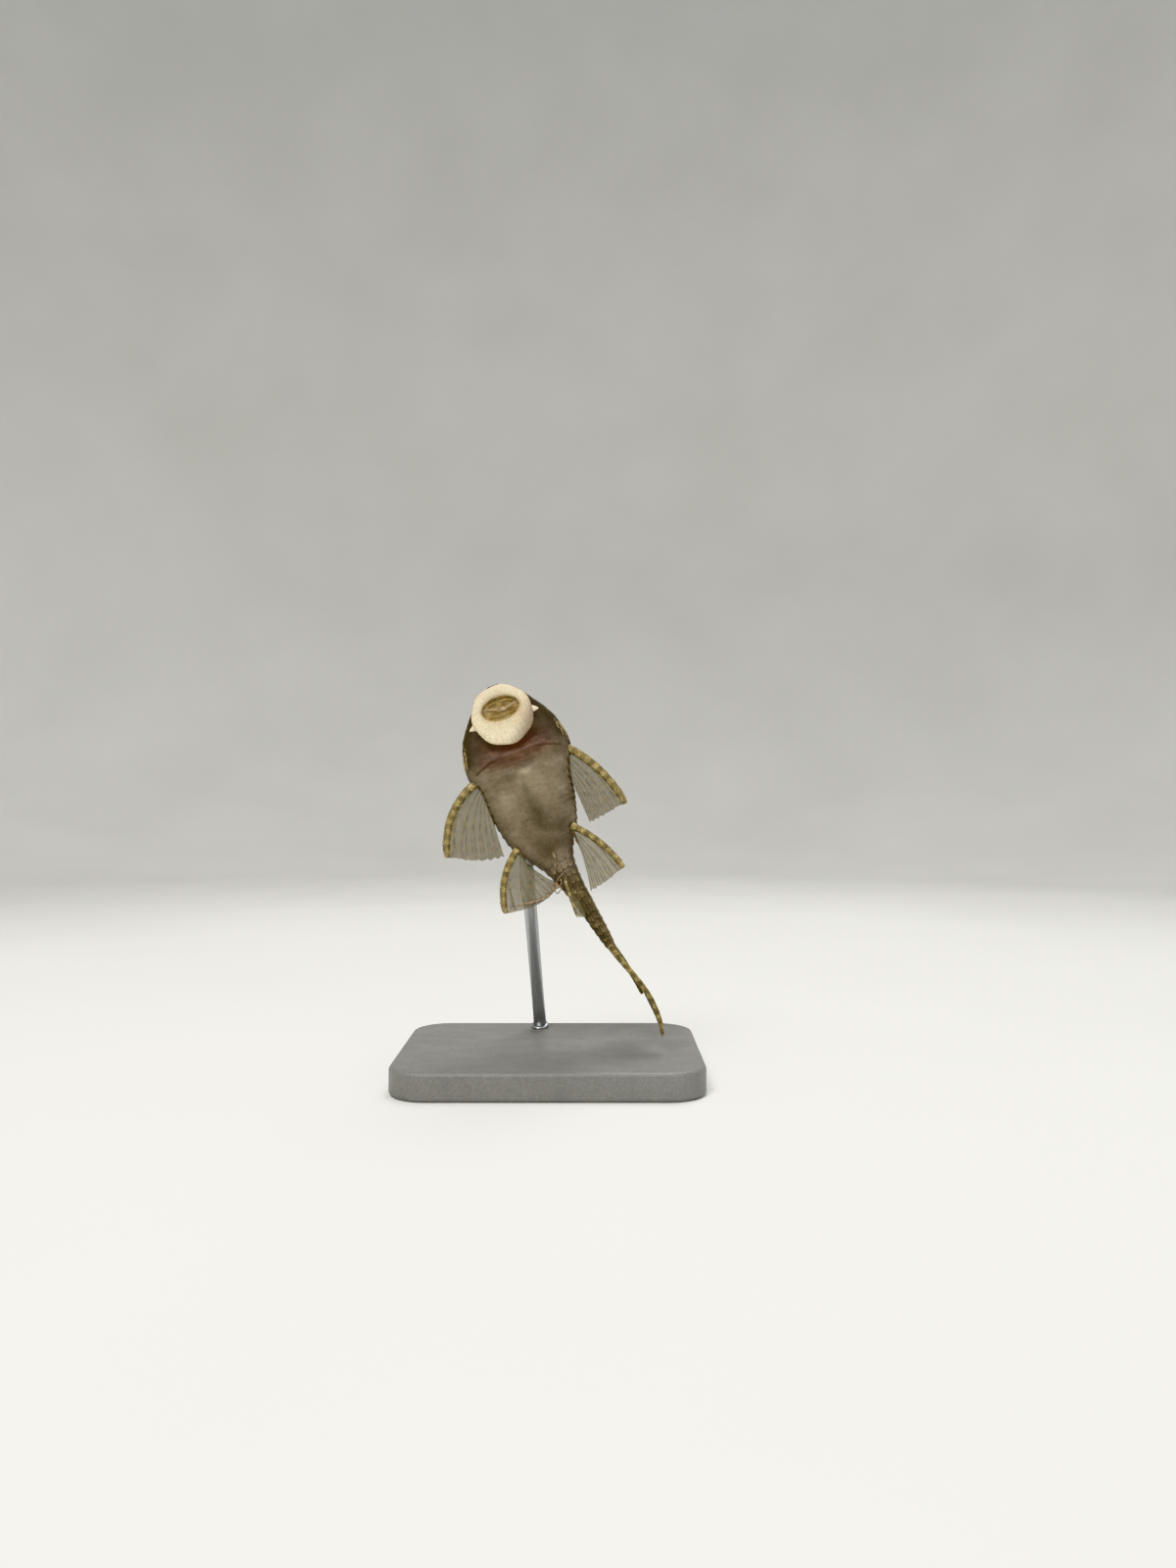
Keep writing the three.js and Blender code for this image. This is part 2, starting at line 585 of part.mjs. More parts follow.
function makeCaudal() {
  const place = (v, t) => {
    const [spread, length] = [0, 1].map((n) => mix(CAUDAL.upper[n], CAUDAL.lower[n], v));
    const across = 1 - 2 * v;
    const notch = CAUDAL.notch * (1 - across * across);
    const s = BODY_END - 0.7 + t * (length - notch);
    const root = across * CAUDAL.rootHalf;
    const opened = Math.sin(1.4 * t) / Math.sin(1.4);
    const level = mix(root, across * spread, opened);
    return pointAt(s, 0.2 * Math.sin(Math.PI * 2 * v) * t, level);
  };
  node("caudal_fin", fin({ place, ...CAUDAL, twoSpines: true }).subtract(around), FIN);
}

// The stand: a rounded base and one inclined rod that stops just short of the back
function makeStand() {
  const { width, depth, height, corner, bevel } = BASE;
  const [x, y] = [width / 2 - bevel - corner, depth / 2 - bevel - corner];
  const outline = new THREE.Shape();
  outline.absarc(x, y, corner, 0, Math.PI / 2);
  outline.absarc(-x, y, corner, Math.PI / 2, Math.PI);
  outline.absarc(-x, -y, corner, Math.PI, 1.5 * Math.PI);
  outline.absarc(x, -y, corner, 1.5 * Math.PI, 2 * Math.PI);
  const base = new THREE.ExtrudeGeometry(outline, {
    depth: height - 2 * bevel, bevelEnabled: true, bevelThickness: bevel, bevelSize: bevel, bevelSegments: 1,
    curveSegments: 5,
  }).translate(0, 0, bevel);
  node("stand_base", solid(base), STAND);

  const foot = new THREE.Vector3(ROD.footX, ROD.footY, height + GAP);
  const top = skinAt(ROD.s, ROD.angle);
  const length = top.distanceTo(foot);
  const rod = new THREE.CylinderGeometry(ROD.radius, ROD.radius, length + 2, 16).rotateX(Math.PI / 2);
  rod.lookAt(top.clone().sub(foot));
  const middle = foot.clone().lerp(top, 0.5);
  rod.translate(...middle.toArray());
  const below = new THREE.BoxGeometry(40, 40, 10).translate(foot.x, foot.y, foot.z - 5);
  node("stand_rod", solid(rod).subtract(around).subtract(solid(below)), STEEL);
}

makeHead();
makeDisc();
makeEyes();
makeTorso();
makeTail();
pairedFin(PECTORAL, PECTORAL_LEFT);
pairedFin(PECTORAL, PECTORAL_RIGHT);
pairedFin(PELVIC, PELVIC_LEFT);
pairedFin(PELVIC, PELVIC_RIGHT);
makeDorsal();
makeAdipose();
makeAnal();
makeCaudal();
makeStand();

export default model;
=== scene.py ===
"""The looks of a young bristlenose pleco on a plain stand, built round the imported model.

Sizes are in millimetres, and meshes are scaled to metres as they are made. The fish is drawn
round the same midline as the solids: s is the distance behind the snout along it, and each
section has three directions, tail (onward), side (the fish's left) and back.
"""

import math

import bpy
import numpy as np
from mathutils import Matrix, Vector, kdtree


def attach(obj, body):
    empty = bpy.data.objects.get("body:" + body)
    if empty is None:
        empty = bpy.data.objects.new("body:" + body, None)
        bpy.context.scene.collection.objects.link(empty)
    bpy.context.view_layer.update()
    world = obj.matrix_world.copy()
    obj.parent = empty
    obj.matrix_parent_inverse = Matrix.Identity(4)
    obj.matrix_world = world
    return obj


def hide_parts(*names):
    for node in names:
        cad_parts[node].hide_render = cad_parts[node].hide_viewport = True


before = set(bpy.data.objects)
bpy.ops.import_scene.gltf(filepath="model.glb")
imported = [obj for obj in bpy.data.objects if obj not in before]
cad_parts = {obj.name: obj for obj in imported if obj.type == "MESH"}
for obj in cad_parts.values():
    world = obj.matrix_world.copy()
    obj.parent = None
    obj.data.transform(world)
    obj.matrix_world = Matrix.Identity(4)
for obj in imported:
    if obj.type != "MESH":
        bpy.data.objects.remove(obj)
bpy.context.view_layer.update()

MM = 0.001
SNOUT = np.array([-8.1, -3.0, 56.8])

# The midline: its turn from straight down, its lean away from the viewer and its roll, in degrees
TURN = [[0, 20.5], [6, 18.5], [10.5, 20.5], [15, 16], [22, 22], [27, 30], [32, 33.5], [36, 31.5],
        [40, 31], [44, 38], [47, 36], [51, 26], [56, 7]]
LEAN = [[0, 0], [20, 0], [34, 8], [56, 11]]
ROLL = [[0, 0], [26, 0], [40, 2], [45, -2], [50, -6], [56, -7]]
LINE_STEP = 0.25
LINE_END = 58

# The body's sections: half width, belly line, back line, and how high its widest level sits
HALF_WIDTH = [[0, 1.1], [0.5, 2.2], [1.4, 3.3], [3.4, 4.95], [4.8, 6], [6.4, 6.95], [8.8, 7.65],
              [10.6, 7.9], [11.8, 7.8], [13, 7], [14.6, 6.5], [18, 6.2], [21.2, 5.5], [23, 4.9],
              [25.2, 3.5], [28, 2.1], [33, 1.25], [38.2, 0.85], [41.5, 0.6]]
BELLY = [[0, -1.9], [4, -2.2], [8, -2.5], [10.5, -3.1], [15, -3.3], [21, -3.1], [26, -2.7],
         [33, -2.4], [38.5, -2.3], [41.5, -2.4]]
BACK = [[0, -1], [1.5, -0.1], [5, 1.7], [8, 2.8], [11, 3.7], [15, 4.4], [19, 4.8], [24, 4.3],
        [28, 3.6], [33, 2.8], [38, 2.4], [41.5, 2.5]]
WIDEST = [[0, 0.35], [10, 0.3], [22, 0.34], [30, 0.48], [41.5, 0.5]]
BELLY_SQUARENESS = 2.9
BACK_SQUARENESS = 2.15
HEAD_END = 10.5
SHEAR = [[3, 0], [HEAD_END, 0.5], [21, 0]]
BODY_END = 41.4

# Bony plates: five rows on each flank, over all but the naked belly
PLATE_COUNT = 25
PLATE_START = 11.2
PLATE_PITCH = (BODY_END - PLATE_START) / PLATE_COUNT
PLATE_RISE = 0.17
PLATE_BULGE = 0.22
PLATE_STAGGER = 0.14
PLATE_GROOVE = 0.12
ROWS_ROUND = 10
ARMOUR_EDGE = -26
ARMOUR_SPAN = 180 - 2 * ARMOUR_EDGE
TAIL_ARMOUR = 26.5

EYE_S, EYE_ANGLE, EYE_RADIUS, EYE_SUNK = 7.9, 54, 1.2, 0.5
EYE_RIM_HEIGHT, EYE_RIM_WIDTH, EYE_SIDES = 0.45, 1.5, 96
NOSTRIL_S, NOSTRIL_ANGLE = 6.2, 68

DISC_S, DISC_RADIUS, DISC_BACK, DISC_FACE = 4.38, 4.4, -1.6, -3.85
MOUTH_S, MOUTH_WIDE, MOUTH_HIGH, MOUTH_FLOOR = 3.35, 2.65, 1.5, -3.05

# The lips from the mouth's middle to their back, by row: their level, how far out they reach
# from the mouth's edge to the rim, and how wide the mouth is there
LIP_LEVEL = [[0, MOUTH_FLOOR], [1, MOUTH_FLOOR - 0.02], [1.3, DISC_FACE + 0.5], [2, DISC_FACE + 0.24],
             [3, DISC_FACE + 0.06], [4.5, DISC_FACE], [5.6, DISC_FACE + 0.1], [6.1, DISC_FACE + 0.22],
             [6.4, DISC_FACE + 0.45], [6.7, DISC_FACE + 0.85], [7.2, DISC_BACK]]
LIP_REACH = [[0, 0], [1, 0], [1.3, 0.05], [2, 0.16], [3, 0.38], [4.5, 0.74], [5.6, 0.94],
             [6.1, 0.992], [6.4, 1], [6.7, 0.93], [7.2, 0.8]]
LIP_INNER = [[0, 0.25], [1, 0.93], [1.3, 1], [7.2, 1]]
TOOTH_COUNT = 26

# Loose strands of skin round the vent, each as its points [s, side, level] and its thickness
VENT_STRANDS = [
    ([[25.7, 0.15, -2.7], [26.6, -0.2, -3.0], [27.5, -0.85, -3.1], [28.7, -1.95, -3.1]], 0.09),
    ([[28.3, 0.6, -2.4], [28.5, -0.15, -2.8], [28.7, -0.95, -3.0], [29.4, -1.9, -3.1]], 0.09),
    ([[28.5, -2.2, -3.0], [29.2, -2.15, -3.2], [29.75, -1.8, -3.3], [29.5, -1.0, -3.2],
      [28.95, -0.75, -2.9]], 0.11),
    ([[29.2, -2.3, -2.9], [30.0, -2.4, -3.1], [30.4, -2.2, -3.2], [30.2, -1.6, -3.2],
      [29.8, -1.1, -2.9]], 0.08),
]

# Patches of the naked belly, each as its s and side, how much it is squeezed along and across,
# its width and its strength
FLUSH = [(8.9, 0.6, 1, 0.28, 0.75, 0.6)]
PALE = [(13, 0.4, 1, 0.5, 0.45, 0.75), (15.5, 1.8, 0.5, 0.6, 1.6, 0.35), (17, -3.4, 0.4, 0.7, 1.4, 0.35)]
DUSK = [(19.9, 0.4, 0.55, 1, 1.2, 0.65), (15.8, -0.2, 0.3, 1, 0.45, 0.45),
        (22.3, 3.2, 0.8, 0.7, 1.1, 0.6), (24.4, 0, 1, 0.4, 1, 0.35)]

# The roots of the paired fins: s, side, level, length of the base, and how far the tips drop
PECTORAL_ROOT = (11.7, 6.1, -1.5, 2.2, 0.7)
PELVIC_ROOT = (22.9, 4.2, -2.2, 1.9, 0.5)

BASE_SIZE = (44, 34, 4)
BASE_CORNER, BASE_BEVEL = 5.6, 0.6
ROD_FOOT = np.array([-2.0, 13.0, 4.0])
ROD_S, ROD_ANGLE, ROD_RADIUS = 15.8, 109, 1.0

# The camera sees the fish from the photograph's level, 168 mm in front of its belly
CAMERA_AT, LENS, SENSOR = (5.6, -174.5, 42.8), 27.0, 36.0
LIGHTS_AIM = (0, 0, 36)
LIGHTS = [("key", (-130, -230, 330), 170, 1.35, (1, 0.985, 0.95)),
          ("fill", (260, -230, 130), 240, 0.4, (0.95, 0.98, 1)),
          ("top", (60, 150, 380), 220, 0.95, (1, 1, 1))]
SKY, SKY_POWER = (0.93, 0.96, 1, 1), 0.5

# How finely the skin is drawn, how many small parts it carries, and how large each one's patch of
# the unwrap is
HEAD_ROWS, BODY_ROWS, SKIN_COLUMNS = 96, 300, 216
HEAD_DENTICLES, TENTACLES, CHEEK_SPINES = 3600, 13, 20
UV_SPOT = 0.0015

random = np.random.default_rng(7)


def smooth(low, high, value):
    """0 below low, 1 above high, and an easy curve between."""
    t = np.clip((np.asarray(value, float) - low) / (high - low), 0, 1)
    return t * t * (3 - 2 * t)


def fade(low, high, value):
    return 1 - smooth(low, high, value)


def band(value, rise, full, wane, gone):
    """1 from full to wane, and an easy curve down to 0 at rise and at gone."""
    return smooth(rise, full, value) * fade(wane, gone, value)


def blended(low, high, t):
    return low + (high - low) * t


def turns(count):
    """Even angles once round a circle."""
    return np.linspace(0, 2 * math.pi, count, endpoint=False)


def hill(distance, width):
    """1 in the middle, falling to a third at width."""
    return np.exp(-((np.asarray(distance, float) / width) ** 2))


def unit(vector):
    vector = np.asarray(vector, float)
    return vector / np.linalg.norm(vector, axis=-1, keepdims=True)


def follow(table, at):
    """A smooth line through a table of [place, value], which never swings past its points."""
    places, values = np.array(table, float).T
    chord = np.diff(values) / np.diff(places)
    before, after = chord[:-1], chord[1:]
    agree = before * after > 0
    total = np.where(agree, before + after, 1)
    inner = np.where(agree, 2 * before * after / total, 0)
    slope = np.concatenate([chord[:1], inner, chord[-1:]])
    at = np.clip(np.asarray(at, float), places[0], places[-1])
    k = np.clip(np.searchsorted(places, at, side="right") - 1, 0, len(places) - 2)
    step = places[k + 1] - places[k]
    u = (at - places[k]) / step
    start = (2 * u**3 - 3 * u**2 + 1) * values[k] + (u**3 - 2 * u**2 + u) * step * slope[k]
    return start + (3 * u**2 - 2 * u**3) * values[k + 1] + (u**3 - u**2) * step * slope[k + 1]


def directions(s):
    """The tail, side and back directions at s, each with a last axis of three."""
    turn, lean, roll = (np.radians(follow(table, s)) for table in (TURN, LEAN, ROLL))
    tail = np.stack([np.sin(turn) * np.cos(lean), np.sin(lean), -np.cos(turn) * np.cos(lean)], -1)
    level = np.stack([np.cos(turn), np.zeros_like(turn), np.sin(turn)], -1)
    upright = np.cross(level, tail)
    cos, sin = np.cos(roll)[..., None], np.sin(roll)[..., None]
    return tail, level * cos - upright * sin, upright * cos + level * sin


LINE_S = np.arange(0, LINE_END, LINE_STEP)
MIDLINE = np.vstack([SNOUT, SNOUT + np.cumsum(directions(LINE_S + LINE_STEP / 2)[0] * LINE_STEP, 0)])


def point_at(s, side, back):
    """The point at s along the midline, then side to the fish's left and back to its back."""
    s = np.asarray(s, float)
    tail, left, up = directions(s)
    k = np.clip(np.floor(s / LINE_STEP).astype(int), 0, len(MIDLINE) - 2)
    middle = MIDLINE[k] + tail * (s - k * LINE_STEP)[..., None]
    return middle + left * np.asarray(side)[..., None] + up * np.asarray(back)[..., None]


def edge_at(s, angle, grow=0.0):
    """Side and back of a section's edge at an angle from the fish's left over its back."""
    half = follow(HALF_WIDTH, s) + grow
    low = follow(BELLY, s) - grow
    high = follow(BACK, s) + grow
    middle = low + (high - low) * follow(WIDEST, s)
    across, up = np.cos(np.radians(angle)), np.sin(np.radians(angle))
    square = np.where(up > 0, BACK_SQUARENESS, BELLY_SQUARENESS)
    reach = (np.abs(across) ** square + np.abs(up) ** square) ** (-1 / square)
    return half * reach * across, middle + np.where(up > 0, high - middle, middle - low) * reach * up


def plate_shift(across, row):
    """How far back a plate reaches at a place across its row, in plates."""
    return PLATE_BULGE * (1 - (2 * across - 1) ** 2) - PLATE_STAGGER * (row % 2)


def armour_place(s, angle):
    """Where a point lies in its plate: along it and across its row, each 0 to 1, and whether
    plates cover it."""
    turned = np.mod(angle - ARMOUR_EDGE, 360)
    row = turned / ARMOUR_SPAN * ROWS_ROUND
    across = np.mod(row, 1)
    along = np.mod((s - PLATE_START) / PLATE_PITCH - plate_shift(across, np.floor(row)), 1)
    naked = smooth(0, 0.25, turned / ARMOUR_SPAN - 1) * smooth(0, 0.25, (360 - turned) / ARMOUR_SPAN)
    on_tail = smooth(TAIL_ARMOUR - 1, TAIL_ARMOUR + 1.5, s)
    cover = smooth(PLATE_START - 0.2, PLATE_START + 1, s)
    cover = cover * np.maximum(1 - np.minimum(naked * 30, 1), on_tail)
    return along, across, cover


def off_spot(s, angle, spot_s, spot_angle):
    """How far a point of the skin lies from a spot that both sides of the head have."""
    round_ = np.radians(np.abs(angle - 90) - (90 - spot_angle))
    return np.hypot(s - spot_s, follow(HALF_WIDTH, s) * round_)


WAVES = [(unit(random.normal(size=3)), random.uniform(0, 6.28), size)
         for size in np.geomspace(3.2, 0.55, 14)]


def waviness(points):
    """A soft unevenness of about plus or minus 1, from waves in many directions."""
    total = np.zeros(points.shape[:-1])
    for way, phase, size in WAVES:
        total += np.sin(points @ way * (2 * math.pi / size) + phase) * size**0.7
    return total / 4.5


def relief(s, angle, place, side):
    """How far the skin stands out from its plain section, in millimetres."""
    along, across, cover = armour_place(s, angle)
    over = np.where((angle > 0) & (angle < 180), 1.0, 0.0)
    under = band(np.mod(angle, 360), 198, 212, 328, 342)

    # Plates, each a low roof with a keel, between grooves
    saw = along**0.8 * fade(0.94, 1.0, along)
    groove = np.abs(2 * across - 1) ** 10
    keel = hill(across - 0.5, 0.1) * along
    out = cover * (PLATE_RISE * saw - PLATE_GROOVE * groove + 0.05 * keel)

    # The rims of the eyes, the nostrils and the crest behind the head
    away = off_spot(s, angle, EYE_S, EYE_ANGLE)
    out = out + over * EYE_RIM_HEIGHT * hill(away, EYE_RIM_WIDTH)
    out = out + over * 0.3 * hill(away - 1.3, 0.2)
    nostril = off_spot(s, angle, NOSTRIL_S, NOSTRIL_ANGLE)
    out = out + over * (0.12 * hill(nostril - 0.55, 0.2) - 0.55 * hill(nostril, 0.3))
    out = out + over * 0.14 * hill(side, 0.9) * band(s, 7.5, 10.5, 13, 15)

    # Under the body: gill slits, the shoulder's ridge, the full belly, the vent and fine folds
    wide = np.abs(side)
    slit_line = 10.35 + 0.07 * (wide - 3) ** 2
    slit = band(wide, 2.8, 3.6, 6.2, 6.9)
    out = out - under * slit * 0.26 * hill(place - slit_line, 0.12)
    out = out + under * slit * 0.1 * hill(place - slit_line + 0.32, 0.22)
    girdle = hill(place - 12.6 - 0.05 * wide**2, 0.55) * band(wide, 0.3, 1.2, 5.2, 6.4)
    out = out + under * 0.12 * girdle
    out = out + under * 0.28 * hill(place - 17.2, 4.2) * hill(side, 4.2)
    out = out - under * 0.07 * hill(side, 0.4) * band(place, 12.5, 14, 22, 24)
    out = out + under * 0.1 * hill(np.hypot(place - 24.3, side), 0.9)
    folds = np.sin(place * 7.5 + 0.9 * np.sin(side * 1.3)) * band(place, 13.2, 15, 21, 24)
    throat = np.sin(place * 9 - 1.2 * np.cos(side * 0.7)) * band(place, 8, 9, 12, 13.2)
    return out + under * (0.012 * folds + 0.016 * throat * fade(4.6, 6, wide))


def sheared(s, angle, grow=0.0):
    """Where a point of the section at s comes to lie, as the head's sections lean back."""
    return s + follow(SHEAR, s) * (edge_at(s, angle, grow)[1] - follow(BELLY, s))


def skin_at(s, angle, grow=0.0, ahead=0.0, detailed=True):
    """The skin's points at s, at an angle round the body, with or without its relief."""
    s, angle = np.broadcast_arrays(np.asarray(s, float), np.asarray(angle, float))
    place = sheared(s, angle, grow)
    side, back = edge_at(place, angle, grow)
    if detailed:
        out = grow + relief(s, angle, place, side)
        out = out + 0.022 * waviness(point_at(place, side, back))
        side, back = edge_at(place, angle, out)
    return point_at(place - ahead, side, back)


def outward_at(s, angle):
    """The way straight out of the plain skin."""
    along = skin_at(s + 0.3, angle, detailed=False) - skin_at(s - 0.3, angle, detailed=False)
    round_ = skin_at(s, angle + 4.0, detailed=False) - skin_at(s, angle - 4.0, detailed=False)
    return unit(np.cross(along, round_))


# Materials


def srgb(text):
    """A colour given as six hex digits, as linear values with alpha."""
    parts = [int(text[k:k + 2], 16) / 255 for k in (0, 2, 4)]
    return (*(c / 12.92 if c <= 0.04045 else ((c + 0.055) / 1.055) ** 2.4 for c in parts), 1.0)


class Paint:
    """A node material, put together by short calls. Each call gives back an output socket."""

    def __init__(self, name):
        self.material = bpy.data.materials.new(name)
        self.material.use_nodes = True
        self.nodes = self.material.node_tree.nodes
        self.links = self.material.node_tree.links
        self.shader = self.nodes["Principled BSDF"]
        self.place = self.nodes.new("ShaderNodeTexCoord").outputs["Object"]

    def node(self, kind, inputs=(), **settings):
        node = self.nodes.new(kind)
        for key, value in settings.items():
            setattr(node, key, value)
        for key, value in dict(inputs).items():
            self.plug(value, node.inputs[key])
        return node

    def plug(self, value, socket):
        if isinstance(value, bpy.types.NodeSocket):
            self.links.new(value, socket)
        else:
            socket.default_value = srgb(value) if isinstance(value, str) else value

    def value(self, name):
        return self.node("ShaderNodeAttribute", attribute_name=name).outputs["Fac"]

    def values(self, names):
        return [self.value(name) for name in names.split()]

    def noise(self, size, detail=3.0, roughness=0.5, stretch=0.0):
        """Noise whose blotches are about size millimetres across."""
        inputs = {"Vector": self.place, "Scale": 1 / (size * MM), "Detail": detail,
                  "Roughness": roughness, "Distortion": stretch}
        return self.node("ShaderNodeTexNoise", inputs).outputs["Fac"]

    def cells(self, size, feature="F1", jitter=1.0):
        inputs = {"Vector": self.place, "Scale": 1 / (size * MM), "Randomness": jitter}
        return self.node("ShaderNodeTexVoronoi", inputs, feature=feature).outputs["Distance"]

    def ramp(self, factor, *stops):
        node = self.node("ShaderNodeValToRGB", {"Fac": factor})
        elements = node.color_ramp.elements
        while len(elements) < len(stops):
            elements.new(0.5)
        for element, (position, colour) in zip(elements, stops):
            element.position = position
            element.color = srgb(colour) if isinstance(colour, str) else (colour, colour, colour, 1)
        return node.outputs["Color"]

    def mix(self, factor, first, second):
        inputs = {0: factor, 6: first, 7: second}
        return self.node("ShaderNodeMix", inputs, data_type="RGBA").outputs[2]

    def maths(self, operation, first, second=0.0, third=0.0):
        inputs = {0: first, 1: second, 2: third}
        return self.node("ShaderNodeMath", inputs, operation=operation).outputs[0]

    def times(self, first, second):
        return self.maths("MULTIPLY", first, second)

    def over(self, under, tint, factor, strength):
        """A colour with a tint laid over it, by a factor from 0 to 1 times a strength."""
        return self.mix(self.times(factor, strength), under, tint)

    def blotches(self, low, high, *noise):
        """Noise made into blotches: 0 where it is under low, 1 where it is over high."""
        return self.ramp(self.noise(*noise), (low, 0.0), (high, 1.0))

    def bump(self, height, deep, strength=1.0, normal=None):
        """A bump whose full height is deep millimetres."""
        inputs = {"Height": height, "Distance": deep * MM, "Strength": strength}
        if normal:
            inputs["Normal"] = normal
        return self.node("ShaderNodeBump", inputs).outputs["Normal"]

    def done(self, colour, roughness, normal=None, coat=(0, 0.03), flesh=(0, 0.05), **sockets):
        """The material, with its coat's weight and roughness, and its flesh's weight and depth."""
        sockets.update(Base_Color=colour, Roughness=roughness, Coat_Weight=coat[0],
                       Coat_Roughness=coat[1], Subsurface_Weight=flesh[0], Subsurface_Scale=flesh[1])
        if normal:
            sockets["Normal"] = normal
        for name, value in sockets.items():
            self.plug(value, self.shader.inputs[name.replace("_", " ")])
        return self.material


def skin_material():
    paint = Paint("skin")
    belly, throat, tail, plate, seam, naked = paint.values("belly throat tail plate seam naked")

    broad = paint.noise(3.2, 4, 0.55)
    fine = paint.noise(0.5, 5, 0.65)
    back = paint.ramp(broad, (0.3, "221d0e"), (0.52, "3a3119"), (0.75, "584c2a"))
    dots = paint.ramp(paint.cells(1.15), (0.12, 1.0), (0.2, 0.0))
    dots = paint.times(dots, paint.ramp(paint.noise(2.1, 2), (0.42, 0.1), (0.55, 0.9)))
    back = paint.over(back, "7a6c40", paint.blotches(0.6, 0.68, 0.95, 2, 0.4), 0.45)
    back = paint.mix(dots, back, "b0a470")
    flank = paint.ramp(paint.noise(1.2, 5, 0.6), (0.32, "3a2f1e"), (0.5, "625338"), (0.7, "968560"))
    flank = paint.over(flank, "2e2414", paint.blotches(0.46, 0.6, 0.3, 3, 0.6), 0.5)
    back = paint.mix(paint.times(tail, 0.7), back, flank)
    bones = paint.ramp(paint.cells(3.1, "DISTANCE_TO_EDGE"), (0.0, 1.0), (0.05, 0.0))
    bones = paint.times(bones, paint.value("crown"))
    back = paint.over(back, "1a160a", bones, 0.55)

    under = paint.ramp(broad, (0.3, "524737"), (0.5, "706452"), (0.7, "887c6a"))
    under = paint.over(under, "584e36", paint.blotches(0.35, 0.7, 1.3, 4, 0.6), 0.4)
    under = paint.over(under, "3e3620", paint.blotches(0.45, 0.62, 0.16, 3, 0.7), 0.4)
    veins = paint.ramp(paint.noise(1.1, 6, 0.7, 1.6), (0.475, 0.0), (0.5, 1.0), (0.525, 0.0))
    under = paint.over(under, "704634", veins, 0.22)
    red = paint.ramp(paint.noise(1.6, 5, 0.6), (0.3, "38281a"), (0.5, "503828"), (0.7, "664c3a"))
    under = paint.mix(throat, under, red)
    under = paint.mix(paint.value("flush"), under, "683a2e")
    under = paint.mix(paint.value("pale"), under, "a0957e")
    under = paint.mix(paint.value("dusk"), under, "362e18")
    cheek = paint.ramp(fine, (0.35, "221a0a"), (0.65, "403218"))
    under = paint.mix(paint.value("cheek"), under, cheek)

    colour = paint.mix(belly, back, under)
    rear = paint.ramp(plate, (0.55, 0.0), (0.95, 1.0))
    colour = paint.over(colour, "9c8a64", rear, 0.26)
    colour = paint.over(colour, "1c170a", seam, 0.65)
    freckles = paint.ramp(fine, (0.45, 0.0), (0.7, 1.0))
    colour = paint.over(colour, "201b0c", freckles, 0.25)

    grain = paint.maths("SUBTRACT", 1.0, paint.cells(0.16, jitter=0.9))
    rough_skin = paint.mix(naked, grain, paint.noise(0.2, 4, 0.6))
    normal = paint.bump(rough_skin, 0.035, 0.8)
    normal = paint.bump(paint.noise(0.7, 5), 0.07, 0.7, normal)
    normal = paint.bump(paint.maths("SUBTRACT", 1.0, bones), 0.05, 0.8, normal)
    roughness = paint.ramp(fine, (0.3, 0.5), (0.7, 0.68))
    return paint.done(colour, roughness, normal, coat=(0.05, 0.3), flesh=(0.08, 0.0006),
                      Specular_IOR_Level=0.35)


def lips_material():
    paint = Paint("lips")
    out, knobs, inside = paint.values("out papilla inside")
    cream = paint.ramp(paint.noise(1.2, 5, 0.6), (0.3, "bcae90"), (0.6, "ded5ba"))
    # Lip tones by distance out: darker at the mouth's edge, palest mid-lip and a darker rim, then painted
    # shade down the wall behind the rim to dark brown where it meets the body; on the wall this ramp
    # outweighs the cream
    shade = paint.ramp(out, (0.0, "82704c"), (0.1, "a0906a"), (0.27, "cec4a4"), (0.53, "e6dfc6"),
                       (0.72, "d4caac"), (0.8, "a08e70"), (1.0, "3c3020"))
    wall = paint.ramp(out, (0.78, 0.5), (1.0, 0.9))
    colour = paint.mix(wall, cream, shade)
    # Painted shade in the hollows between the papillae, and a painted highlight on their tops
    between = paint.ramp(knobs, (0.0, 0.24), (0.45, 0.0))
    colour = paint.mix(paint.mix(inside, between, "000000"), colour, "968262")
    colour = paint.over(colour, "f0ebd6", knobs, 0.22)
    streaks = paint.times(paint.value("streak"), paint.noise(0.9, 3))
    colour = paint.over(colour, "b09e7c", streaks, 0.55)
    # Painted shade: the lips darken towards the tail and the fish's left, their side away from the light
    colour = paint.mix(paint.value("lower"), colour, "786756")
    tan = paint.ramp(paint.noise(0.7, 5, 0.6), (0.3, "66542e"), (0.55, "8a7848"), (0.75, "a69462"))
    colour = paint.mix(inside, colour, tan)
    colour = paint.over(colour, "ce987a", paint.blotches(0.45, 0.7, 1.0, 3), 0.2)
    normal = paint.bump(paint.noise(0.13, 4, 0.6), 0.025, 0.8)
    return paint.done(colour, 0.5, normal, coat=(0.1, 0.25), flesh=(0.2, 0.0007),
                      Specular_IOR_Level=0.4, Subsurface_Radius=(1.0, 0.6, 0.3))


